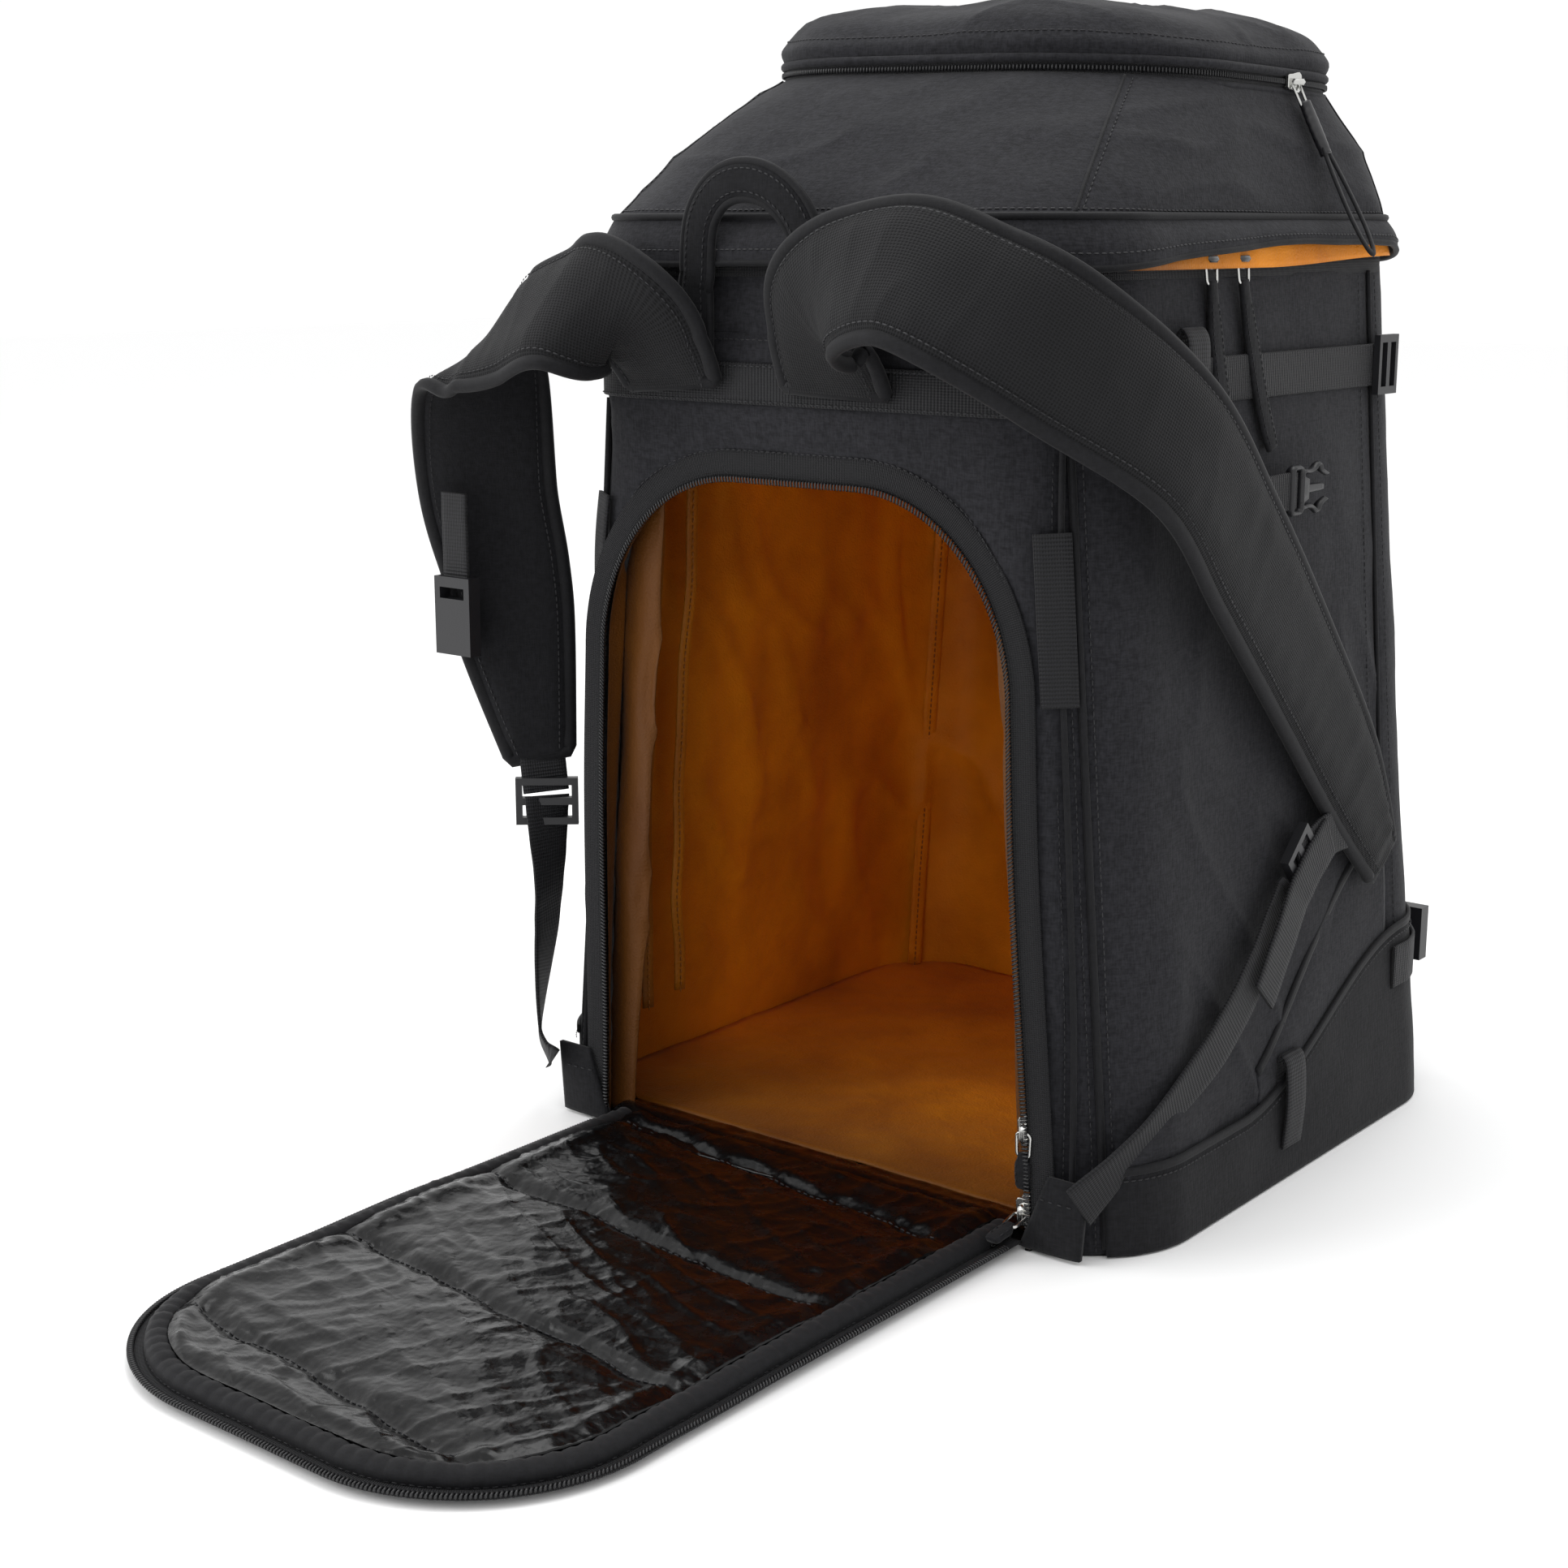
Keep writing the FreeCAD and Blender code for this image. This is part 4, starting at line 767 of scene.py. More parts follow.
zipFace = backY - 1.6
frameTape = sweep(
    "door_zip_tape", onBack(archPoints(7.4, 200), zipFace + 1.4), outBack,
    flatOutline(14, 0.9, 3), tape,
)
ride(frameTape, "bag")
coilLine = onBack(archPoints(1.4, 400), zipFace)
coilSides = [(b - a).normalized() for a, b in zip(coilLine, onBack(archPoints(-1.0, 400), zipFace))]
frameTeeth = makeTeeth("door_zip_coil", coilLine, outBack, coilSides, coil, reach=3.4, thick=0.7)
ride(frameTeeth, "bag", "door_zip_frame_row")
edgeLine = [p.lerp(q, 0.055) for p, q in zip(archEdge, rimEdge)]
ride(makeStitches("doorway_stitches", [
    ([backPlace(p.x, max(p.z, 2))[0] + Vector((0, -1.0, 0)) for p in edgeLine], outBack),
], thread), "bag")

# inner facing of the doorway and the bay's lining, all orange nylon
bayTop = box("divider_shelf")[0].z
liningInset = 8.5


def bayPlace(turn, z, grow=0.0):
    return bodyPlace(turn, z, -liningInset + grow)


def bayCloth(u, v):
    z = mix(4, bayTop + 2, v)
    turn = mix(0.95, 9.05, u)
    p, n = bayPlace(turn if turn <= 5 else turn - 10, z)
    slack = math.sin(v * math.pi) ** 0.6
    sag = 3.0 * noise.noise(Vector((p.x / 46, p.y / 46, p.z / 170)))
    sag += 2.4 * noise.noise(Vector((p.x / 24 + 9, p.y / 24, p.z / 60)))
    sag += folds(p + Vector((0, p.z * 0.35, 0)), 21, Vector((60, 34, 130)), 4.5)
    sag += 0.35 * noise.noise(p / 7)
    inward = max(sag + 3.0, 0.2) * slack
    return p - n * inward, -n


bay = makeSheet("boot_bay_cloth", 260, 110, bayCloth, 0.6, lining)
ride(bay, "bag", "boot_bay_lining")

# facing behind the doorway, from the zip to the bay's corners
facingOuter = resample([
    Vector((-(baseHalf - 30), 0, 5)), Vector((-(halfAt(bayTop) - 34), 0, bayTop)),
    Vector((halfAt(bayTop) - 34, 0, bayTop)), Vector((baseHalf - 30, 0, 5)),
], archCount + 1)
facingInner = archPoints(1.0, archCount + 1)


def facingCloth(u, v):
    index = min(int(round(u * archCount)), archCount)
    flat = facingInner[index].lerp(facingOuter[index], v)
    depth = mix(backY + 4.0, backY + 15, smooth(v * 1.4))
    depth += 1.2 * noise.noise(Vector((flat.x / 25, 4, flat.z / 60))) * v
    return Vector((flat.x, depth, max(flat.z, 4))), Vector((0, 1, 0))


facing = makeSheet("doorway_facing", archCount, 12, facingCloth, 0.7, lining)
ride(facing, "bag")

# floor and ceiling of the bay
def bayLevel(name, z, lift, seed, nearEdge=6):
    def at(u, v):
        x = mix(-1, 1, u) * (halfAt(z) - 9)
        y = mix(backY + nearEdge, frontAt(z) - 9, v)
        over = max(abs(x) - (halfAt(z) - cornerRadius), 0)
        pull = cornerRadius - math.sqrt(max(cornerRadius ** 2 - min(over, cornerRadius - 9) ** 2, 0))
        y = clamp(y, backY + 6 + pull, frontAt(z) - 9 - pull)
        p = Vector((x, y, z))
        wave = lift * (noise.noise(Vector((x / 60, y / 60, seed))) + 0.4 * noise.noise(p / 18))
        return p + Vector((0, 0, wave)), Vector((0, 0, 1))

    return makeSheet(name, 60, 60, at, 1.0, lining)


ride(bayLevel("bay_floor_cloth", 7.0, 1.2, 2, 24), "bag")
ride(bayLevel("bay_ceiling_cloth", bayTop - 2.5, 2.5, 7), "bag")

# bound seams inside the bay: narrow rolled tapes with stitches beside them
seamRuns = []
boundSeams = []
for name, turn, low, high in (
    ("left_back", -1.62, 10, 372), ("left_front", -3.45, 8, 376), ("right_front", 3.45, 8, 376),
):
    line = []
    outs = []
    for step in range(40):
        z = mix(low, high, step / 39)
        p, n = bayPlace(turn, z)
        line.append(p - n * (6.0 + 1.5 * noise.noise(Vector((turn, 0, z / 40)))))
        outs.append(-n)
    boundSeams.append(sweep("seam_" + name, line, outs, flatOutline(9, 1.6, 3), lining))
    seamRuns.append(([p + n * 1.0 for p, n in zip(line, outs)], outs))
# a long hanging fold beside the doorway on the left, sewn down both its edges
for name, shift in (("flap_inner", 0), ("flap_outer", 24)):
    line = []
    for step in range(50):
        z = mix(60, 352, step / 49)
        x = -mix(131, 118, smooth((z - 150) / 200)) - shift * 0.35
        line.append(Vector((x, backY + 26 + shift * 1.5 + 3 * noise.noise(Vector((0, shift, z / 45))), z)))
    boundSeams.append(sweep("seam_" + name, line, Vector((1, -0.4, 0)), flatOutline(7, 1.4, 3),
                            lining))
    seamRuns.append(([p + Vector((1.1, -0.4, 0)) for p in line], Vector((1, -0.4, 0))))
bound = joinAll("bay_bound_seams", boundSeams)
ride(bound, "bag")
ride(makeStitches("bay_stitches", seamRuns, orangeThread), "bag")

# the same lining in the top bay, seen when the lid is open
topLow = box("top_bay_lining")[0].z


def topBayCloth(u, v):
    z = mix(topLow, rimHigh - 1.5, v)
    turn = mix(-5, 5, u)
    p, n = bodyPlace(turn, z, -6.5)
    inward = max(2.5 * noise.noise(p / 45) + 1.0, 0.2) * seamFall((1 - v) * 75, 12)
    return p - n * inward, -n


topBay = makeSheet("top_bay_cloth", 200, 24, topBayCloth, 0.6, lining, loop=True)
ride(topBay, "bag", "top_bay_lining")
ride(bayLevel("shelf_cloth", box("divider_shelf")[1].z + 1.2, 0.6, 13), "bag", "divider_shelf")
floorCloth = makeSheet(
    "base_cloth", 60, 60,
    lambda u, v: (bodyPlace(mix(-5, 5, u), 0.6, -(1 - v) * 120 - 0.5)[0], Vector((0, 0, -1))),
    -3.0, denier, loop=True,
)
ride(floorCloth, "bag", "base_panel")
print("body and lining made")

# seams of the outer shell: a pinched gusset with piping, then stitch lines beside them
pipes = []
pipeRuns = []
for side in (1, -1):
    for number, (turnOf, low, high, radius) in enumerate((
        (lambda z: seamTurn, 4, rimHigh - 2, 1.9),
        (lambda z: turnAtSide(frontSeamY, z), 4, rimHigh - 2, 1.3),
    )):
        line = []
        outs = []
        for step in range(90):
            z = mix(low, high, step / 89)
            p, n = bodyPlace(side * turnOf(z), z)
            line.append(p + n * 0.4)
            outs.append(n)
        pipes.append(sweep(f"pipe_{side}_{number}", line, outs, roundOutline(radius, 8), binding))
        for shift in (-5, 5):
            beside = []
            for step in range(90):
                z = mix(low, high, step / 89)
                p, n = bodyPlace(side * (turnOf(z) + shift / 90), z)
                beside.append(p + n * (1.3 if number == 0 else 0.9))
            pipeRuns.append((beside, outs))
ride(joinAll("shell_piping", pipes), "bag")
ride(makeStitches("shell_stitches", pipeRuns, thread), "bag")

# second seam of the back gusset: it starts by the corner seam and runs down nearer the doorway
gussetLines = []
gussetRuns = []
for side in (1, -1):
    places = curveThrough([
        Vector((side * 137, 0, 394)), Vector((side * 139, 0, 340)), Vector((side * 143, 0, 270)),
        Vector((side * 149, 0, 190)), Vector((side * 155, 0, 100)), Vector((side * 158, 0, 8)),
    ], 14)
    line = []
    outs = []
    for place in places:
        p, n = backPlace(place.x, place.z)
        line.append(p + n * 2.4)
        outs.append(n)
    gussetLines.append(sweep(f"gusset_{side}", line, outs, roundOutline(1.5, 8), binding))
    gussetRuns.append(([p + n * 0.6 + Vector((side * -5, 0, 0)) for p, n in zip(line, outs)], outs))
ride(joinAll("gusset_seams", gussetLines), "bag")
ride(makeStitches("gusset_stitches", gussetRuns, thread), "bag")

# rim of the body: a folded top edge and the rim row of the lid zip
def ringLine(z, grow, y=160, count=260):
    line = []
    outs = []
    for step in range(count + 1):
        turn = mix(-1, 1, step / count) * (3 + 0.62)
        p, n = bodyPlace(turn, rimHigh, grow)
        if p.y > y:
            continue
        line.append(Vector((p.x, p.y, z)))
        outs.append(n)
    return line, outs


line, outs = ringLine(rimHigh + 0.6, -0.6)
ride(sweep("rim_tape", line, outs, flatOutline(8, 1.2, 3), tape), "bag")
line, outs = ringLine(rimHigh + 2.4, -1.4)
ride(makeTeeth("rim_coil", line, outs, Vector((0, 0, 1)), coil, reach=2.2, thick=0.7), "bag",
     "lid_zip_rim_row")

# base guard: a second skin with a bound top edge that climbs to the front
guardHigh = box("base_guard")[1].z


def guardTop(y, turn):
    if abs(turn) > 3.0:
        return guardHigh
    return 43 + (guardHigh - 43) * smooth((y + 60) / 190)


def guardCloth(u, v):
    turn = mix(-5, 5, u)
    flat, n = bodyPlace(turn, 40)
    z = mix(1.0, guardTop(flat.y, turn), v)
    p, n = bodyPlace(turn, z, 1.0)
    inside = flat.y < backY + 3
    lift = -2.5 if inside else 2.2 + cloth(p, 31, 1.2, 0.6) * seamFall(min(v, 1 - v) * 90, 8)
    return p + n * lift, n


def sectorSheet(name, first, last, columns, rows, at, thickness, material):
    return makeSheet(name, columns, rows, lambda u, v: at(mix(first, last, u) / 10 + 0.5, v),
                     thickness, material)


guards = []
guardEdge = []
guardRuns = []
for side in (1, -1):
    first, last = side * seamTurn, side * 5
    guards.append(sectorSheet(f"guard_{side}", first, last, 150, 24, guardCloth, 1.6, denier))
    line = []
    outs = []
    for step in range(160):
        turn = mix(first, last, step / 159)
        p, n = guardCloth(turn / 10 + 0.5, 1.0)
        line.append(p + n * 0.3)
        outs.append(n)
    guardEdge.append(sweep(f"guard_edge_{side}", line, outs, flatOutline(5, 2.0, 3), binding))
    guardRuns.append(([p + n * 1.2 + Vector((0, 0, -4.5)) for p, n in zip(line, outs)], outs))
ride(joinAll("guard_cloth", guards), "bag", "base_guard")
ride(joinAll("guard_binding", guardEdge), "bag")
ride(makeStitches("guard_stitches", guardRuns, thread), "bag")

# ---- boot door, lying open

doorNear = box("door_panel")[1].y
doorHalf = box("door_zip_door_row")[1].x + 2
doorFar = box("door_zip_door_row")[0].y - 5
doorRadius = 90


def doorHalfAt(y, inset):
    radius = doorRadius - inset
    past = (doorFar + doorRadius) - y
    if past <= 0:
        return doorHalf - inset
    return doorHalf - doorRadius + math.sqrt(max(radius ** 2 - past ** 2, 0))


# Outline of the door at an inset from its edge, from the right of the hinge round to the left.
def doorOutline(inset, z, near, count=300):
    radius = doorRadius - inset
    line = [Vector((doorHalf - inset, near, z))]
    for step in range(25):
        angle = -math.pi / 2 * step / 24
        line.append(Vector((
            doorHalf - doorRadius + radius * math.cos(angle),
            doorFar + doorRadius + radius * math.sin(angle), z,
        )))
    line += [Vector((-p.x, p.y, z)) for p in reversed(line)]
    line = resample(line, count)
    for p in line:
        p.z += doorRipple(p.x, p.y)
    return line


# the open door doesn't lie quite flat: its far corners and sides lift a little
def doorRipple(x, y):
    wave = 1.6 * noise.noise(Vector((x / 90, y / 70, 3.3)))
    return max(wave + 0.5, 0) * smooth((doorNear - 30 - y) / 60)


def doorSheet(name, inset, columns, rows, heightAt, thickness, material, under=False):
    def at(u, v):
        share = v if v < 0.7 else 0.7 + 0.3 * math.sin((v - 0.7) / 0.3 * math.pi / 2)
        y = mix(doorNear, doorFar + inset, share)
        x = (2 * u - 1) * doorHalfAt(y, inset)
        z = heightAt(x, y, inset) + doorRipple(x, y)
        return Vector((x, y, z)), Vector((0, 0, -1 if under else 1))

    return makeSheet(name, columns, rows, at, thickness, material)


def nearestLine(value, pitch):
    return abs((value + pitch / 2) % pitch - pitch / 2)


quiltPitch = 98
quiltSlope = 0.10


# Quilting: stitch lines run across the door and pull the tarpaulin down into its foam.
# Slack creases slant between them.
def quilt(x, y):
    wander = 6 * noise.noise(Vector((x / 60, y / 60, 1)))
    first = nearestLine(y + quiltSlope * x + wander, quiltPitch)
    second = nearestLine(y - 0.55 * x + 30 - 4 * wander, 150)
    return first, second


matHigh = box("door_mat")[1].z


def matHeight(x, y, inset):
    first, second = quilt(x, y)
    edge = min(doorHalfAt(y, inset) - abs(x), y - doorFar - inset)
    dip = 3.2 * math.exp(-(first / 4.5) ** 2) + 0.7 * math.exp(-(second / 5.0) ** 2)
    puff = 2.0 * min(first, 24) / 24
    # short gathers run out from each stitch line
    gather = 0.5 * noise.noise(Vector((x / 4.5, y / 40, 8))) * math.exp(-first / 14)
    gather += 0.6 * noise.noise(Vector((x / 30, y / 5, 3))) * math.exp(-max(edge - 6, 0) / 16)
    crinkle = 0.5 * noise.noise(Vector((x / 26, y / 15, 5))) + 0.2 * noise.noise(Vector((x / 9, y / 7, 9)))
    p = Vector((x, y, 0))
    crinkle += folds(p + Vector((y * 0.4, x * 0.3, 0)), 41, Vector((60, 19, 40)), 1.1)
    crinkle += folds(p + Vector((-y * 0.6, x * 0.5, 0)), 42, Vector((24, 60, 40)), 0.9)
    roll = 2.2 * math.exp(-((edge - 9) / 6) ** 2)
    return matHigh - 1.9 + puff + roll + gather + crinkle * seamFall(edge, 6) - dip * seamFall(edge, 8)


mat = doorSheet("door_tarpaulin", 16, 150, 190, matHeight, 1.2, tarpaulin)
ride(mat, "door", "door_mat", "door_foam")

doorBack = doorSheet("door_outer_cloth", 5, 60, 80, lambda x, y, inset: 0.4, -2.2, canvas)
ride(doorBack, "door", "door_panel")

# rolled binding round the mat, gathered a little along its run
rolled = doorOutline(12, 6.5, doorNear - 1, 420)
for index, p in enumerate(rolled):
    p.z += 0.7 * noise.noise(Vector((index / 5, 2, 0))) + 0.4 * math.sin(index * 1.7)
rollOutline = [(x, y * 1.0) for x, y in roundOutline(6.4, 12, 0.8)]
ride(sweep("door_rolled_edge", rolled, Vector((0, 0, 1)), rollOutline, binding), "door", "door_binding")
doorTape = sweep("door_zip_tape_edge", doorOutline(3.5, 4.0, doorNear - 3), Vector((0, 0, 1)),
                 flatOutline(9, 1.0, 3), tape)
ride(doorTape, "door")
teethLine = doorOutline(1.6, 4.9, doorNear - 16, 500)
teethSides = [(b - a).normalized() for a, b in zip(teethLine, doorOutline(-1.0, 4.9, doorNear - 16, 500))]
ride(makeTeeth("door_edge_coil", teethLine, Vector((0, 0, 1)), teethSides, coil, reach=3.4, thick=0.7),
     "door", "door_zip_door_row")
ride(makeStitches("door_edge_stitches", [(doorOutline(6.2, 4.9, doorNear - 4), Vector((0, 0, 1)))], thread), "door")

# quilting thread in the bottom of each stitched line
quiltRuns = []
for number in range(-5, -1):
    line = []
    for step in range(91):
        x = mix(-116, 116, step / 90)
        y = number * quiltPitch - quiltSlope * x
        for _ in range(4):
            wander = 6 * noise.noise(Vector((x / 60, y / 60, 1)))
            y = number * quiltPitch - quiltSlope * x - wander
        if doorFar + 18 < y < doorNear - 4 and abs(x) < doorHalfAt(y, 16) - 6:
            line.append(Vector((x, y, matHeight(x, y, 16) + doorRipple(x, y) + 0.25)))
    if len(line) > 4:
        quiltRuns.append((line, Vector((0, 0, 1))))
ride(makeStitches("quilting_stitches", quiltRuns, thread, 4.2, 3.0, 0.5), "door")


# cloth hinge along the foot of the doorway, between the bay and the open door
def hingeCloth(u, v):
    x = mix(-1, 1, u) * 131
    y = mix(backY + 26, doorNear - 20, v)
    z = mix(4.0, 9.5, smooth(v * 5)) - 2.5 * smooth(v * 2 - 1) + 2.0 * math.exp(-((y - (backY + 5)) / 6) ** 2)
    z += 0.8 * noise.noise(Vector((x / 14, y / 30, 7))) + 0.5 * noise.noise(Vector((x / 6, y / 9, 2)))
    return Vector((x, y, z)), Vector((0, 0, 1))


hinge = makeSheet("door_hinge_cloth", 140, 26, hingeCloth, 1.0, tarpaulin)
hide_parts("door_hinge_piping")
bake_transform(hinge)
print("door made")

# ---- lid

ringHigh = box("lid_pocket_zip")[0].z + 2
ringHalf = box("lid_top_panel")[1].x
ringBack, ringFront = box("lid_top_panel")[0].y, box("lid_top_panel")[1].y
ringRadius = 86
seamHigh = box("lid_skirt")[1].z
domeHigh = box("lid_top_panel")[1].z - ringHigh


# Place on a rounded outline, counted in the same turns as the body.
def outlinePlace(turn, half, back, front, radius):
    side = 1 if turn >= 0 else -1
    turn = abs(turn)
    if turn < 1:
        x, y, nx, ny = turn * (half - radius), back, 0, -1
    elif turn < 2:
        angle = (turn - 1) * math.pi / 2
        nx, ny = math.sin(angle), -math.cos(angle)
        x, y = half - radius + radius * nx, back + radius + radius * ny
    elif turn < 3:
        x, y, nx, ny = half, mix(back + radius, front - radius, turn - 2), 1, 0
    elif turn < 4:
        angle = (turn - 3) * math.pi / 2
        nx, ny = math.cos(angle), math.sin(angle)
        x, y = half - radius + radius * nx, front - radius + radius * ny
    else:
        x, y, nx, ny = (5 - turn) * (half - radius), front, 0, 1
    return Vector((side * x, y, 0)), Vector((side * nx, ny, 0))


# Turns run evenly from -5 to 5 across u, corners and straight runs alike.
def evenTurn(u):
    return mix(-5, 5, u)


# the empty lid slumps: higher at the left and lower towards the front
def lidSag(p, share):
    return share * (0.020 * (ringHalf - p.x) - 0.012 * (p.y - 60))


def slopePlace(turn, share, grow=0.0):
    half = mix(rimHalf, ringHalf, share) + grow
    back = mix(backY, ringBack, share) - grow
    front = mix(rimFront, ringFront, share) + grow
    radius = mix(cornerRadius, ringRadius, share) + grow
    p, n = outlinePlace(turn, half, back, front, radius)
    p.z = mix(seamHigh, ringHigh, share)
    p.z += lidSag(p, share)
    return p, n


def lidCloth(u, v):
    turn = evenTurn(u)
    p, n = slopePlace(turn, v)
    steep = clamp(-n.y, 0, 1)
    out = (n * mix(0.85, 0.45, steep) + Vector((0, 0, mix(0.5, 0.9, steep)))).normalized()
    edge = min(v, 1 - v) * mix(70, 105, steep)
    swell = 5.0 * math.sin(math.pi * clamp(v)) ** 0.8 * (0.6 + 0.4 * steep) + 0.4
    swell += cloth(p, 51, 3.2, 1.0, 0.25) * seamFall(edge, 12)
    swell += folds(p + Vector((p.z, 0, 0)), 52, Vector((80, 90, 26)), 1.6) * seamFall(edge, 14)
    return p + out * swell, out


lidSlope = makeSheet("lid_cloth", 260, 34, lidCloth, 2.6, canvas, loop=True)
ride(lidSlope, "lid", "lid_wall")


# flap that hides the lid zip: it hangs from the seam, stands off a little and waves along its hem
hemLow = rimHigh + 3.0
lidFlapTurn = 3.62


def flapDrop(p):
    lifted = smooth((p.y + 160) / 160) * smooth((160 - p.y) / 45) if p.x > 0 else 0
    return hemLow + 9.5 * lifted + 1.6 * noise.noise(Vector((p.x / 55, p.y / 48, 6)))


def flapCloth(u, v):
    turn = mix(-lidFlapTurn, lidFlapTurn, u)
    p, n = slopePlace(turn, 0)
    low = flapDrop(p)
    z = mix(seamHigh + 1.5, low, v)
    stand = 1.0 + 7.5 * math.sin(math.pi / 2 * clamp(v * 1.25)) + 1.0 * v * v
    stand += (1.5 * noise.noise(Vector((p.x / 38, p.y / 38, 4))) + 0.5 * noise.noise(p / 12)) * v
    point = Vector((p.x, p.y, z)) + n * stand
    return point, n


flap = makeSheet("lid_flap", 320, 14, flapCloth, 2.2, canvas)
ride(flap, "lid", "lid_skirt")
hem = []
hemOuts = []
hemStitch = []
seamStitch = []
seamRoll = []
for step in range(341):
    u = step / 340
    p, n = flapCloth(u, 1.0)
    hem.append(p - n * 1.0)
    hemOuts.append(n)
    hemStitch.append(flapCloth(u, 0.72)[0] + n * 0.15)
    p, n = flapCloth(u, 0.0)
    seamRoll.append(p + n * 0.8 + Vector((0, 0, -0.6)))
    seamStitch.append(lidCloth(mix(-lidFlapTurn, lidFlapTurn, u) / 10 + 0.5, 0.045)[0] + n * 0.3)
ride(sweep("lid_hem", hem, hemOuts, roundOutline(1.7, 8), binding), "lid")
ride(sweep("lid_seam_piping", seamRoll, hemOuts, roundOutline(1.9, 8), binding), "lid")
ride(makeStitches("lid_stitches", [(hemStitch, hemOuts), (seamStitch, hemOuts)], thread), "lid")

# orange lining that shows under the lifted hem, and the lid's inner face
innerLining = makeSheet(
    "lid_lining", 240, 20,
    lambda u, v: (slopePlace(evenTurn(u), v, -4.0)[0] + Vector((0, 0, -3)), -slopePlace(evenTurn(u), v)[1]),
    0.7, lining, loop=True,
)
ride(innerLining, "lid")


def underFlap(u, v):
    turn = mix(1.3, lidFlapTurn - 0.15, u)
    p, n = slopePlace(turn, 0)
    low = rimHigh + 1.0 + 4.5 * smooth((p.y + 10) / 140)
    p.z = mix(seamHigh - 9, low, v)
    return p + n * mix(2.6, 5.2, v), n


ride(makeSheet("lid_flap_lining", 240, 5, underFlap, 0.8, lining), "lid")
line, outs = ringLine(rimHigh + 8.4, 0.6)
ride(sweep("lid_zip_tape", line, outs, flatOutline(6, 1.2, 3), tape), "lid")
line, outs = ringLine(rimHigh + 6.4, -1.4)
ride(makeTeeth("lid_coil", line, outs, Vector((0, 0, -1)), coil, reach=2.0, thick=0.7), "lid", "lid_zip_lid_row")


# sewn joins of the sloping part, at the corners
def slopeLine(turn, lift, first=0.02, last=0.97, count=40):
    line = []
    outs = []
    for step in range(count):
        p, out = lidCloth(turn / 10 + 0.5, mix(first, last, step / (count - 1)))
        line.append(p + out * lift)
        outs.append(out)
    return line, outs


joinRuns = []
joinRolls = []
for turn in (1.52, -1.52, 3.3, -3.3):
    line, outs = slopeLine(turn, 0.1)
    joinRolls.append(sweep(f"join_{turn}", line, outs, roundOutline(0.9, 6), binding))
    joinRuns.append(slopeLine(turn + 0.035, 0.3))
ride(joinAll("lid_joins", joinRolls), "lid")
ride(makeStitches("lid_join_stitches", joinRuns, thread), "lid")


# zip round the top pocket, between two rolled lips
def ringPath(lift, grow, count=300):
    line = []
    outs = []
    for step in range(count):
        p, n = slopePlace(evenTurn(step / count), 1.0, grow)
        p.z += lift
        line.append(p)
        outs.append(n)
    return line, outs


for name, lift, grow, radius in (("lower", -3.0, 1.4, 1.8), ("upper", 6.2, 2.0, 2.2)):
    line, outs = ringPath(lift, grow)
    ride(sweep(f"pocket_lip_{name}", line, outs, roundOutline(radius, 10), canvas, closed=True), "lid")
line, outs = ringPath(1.6, 0.8)
ride(sweep("pocket_zip_tape", line, outs, flatOutline(9, 1.6, 3), tape, closed=True), "lid")
line, outs = ringPath(0.4, 2.2, 500)
line.append(line[0])
outs.append(outs[0])
ride(makeTeeth("pocket_zip_coil", line, outs, Vector((0, 0, 1)), coil, reach=2.8, thick=0.62), "lid", "lid_pocket_zip")


crownHalf = 0.3     # where the last ring of the domed top closes


# domed top: it bulges over the zip, then rounds in to a slack crown
def domeCloth(u, v):
    turn = evenTurn(u)
    inset = (ringHalf - crownHalf) * (1 - math.cos(v * math.pi / 2) ** 0.72) ** 1.15
    rise = (domeHigh - 9) * math.sin(math.pi / 2 * v ** 0.78)
    radius = max(ringRadius - inset, 5)
    bulge = 3.0 * math.exp(-((v - 0.07) / 0.09) ** 2)
    half = ringHalf - inset + bulge
    depth = (ringFront - ringBack) / 2
    depth -= inset * (depth - crownHalf) / (ringHalf - crownHalf)
    middle = (ringFront + ringBack) / 2
    p, n = outlinePlace(turn, half, middle - depth - bulge, middle + depth + bulge, min(radius, half, depth))
    p.z = ringHigh + 6.5 + rise * 0.93
    p.z += lidSag(p, 1.0)
    slack = cloth(p, 61, 4.0, 1.2, 0.3) * seamFall(v * 130, 18)
    slack += folds(p, 62, Vector((90, 40, 60)), 1.6) * seamFall(v * 130, 22)
    out = (n * (1 - v) + Vector((0, 0, 0.3 + v))).normalized()
    return p + out * (slack * smooth((1 - v) * 9) - 0.8), out


dome = makeSheet("lid_dome", 220, 44, domeCloth, 2.4, canvas, loop=True)
ride(dome, "lid", "lid_top_panel")
domeRun = []
domeOuts = []
for step in range(301):
    p, out = domeCloth(step / 300, 0.16)
    domeRun.append(p + out * 0.2)
    domeOuts.append(out)
ride(makeStitches("dome_stitches", [(domeRun, domeOuts)], thread), "lid")

# cloth along the front of the rim, where the lid folds back: it runs in under the ends of the flap
def lidHingeCloth(u, v):
    across = mix(-1, 1, u) * (5.12 - lidFlapTurn)
    p, n = slopePlace((5 - abs(across)) * (1 if across < 0 else -1), 0)
    p.z = mix(rimHigh - 14, seamHigh + 1, v)
    return p + n * (1.6 + 1.4 * math.sin(v * math.pi)), n


lidHinge = makeSheet(
    "lid_hinge_cloth", 120, 10, lidHingeCloth, 1.6, canvas,
)
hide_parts("lid_hinge_piping")
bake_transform(lidHinge)
print("lid made")

# ---- harness

yokeLow, yokeHigh = box("yoke_band")
yokeMiddle = (yokeLow.z + yokeHigh.z) / 2
harnessX = (box("haul_handle")[0].x + box("haul_handle")[1].x) / 2


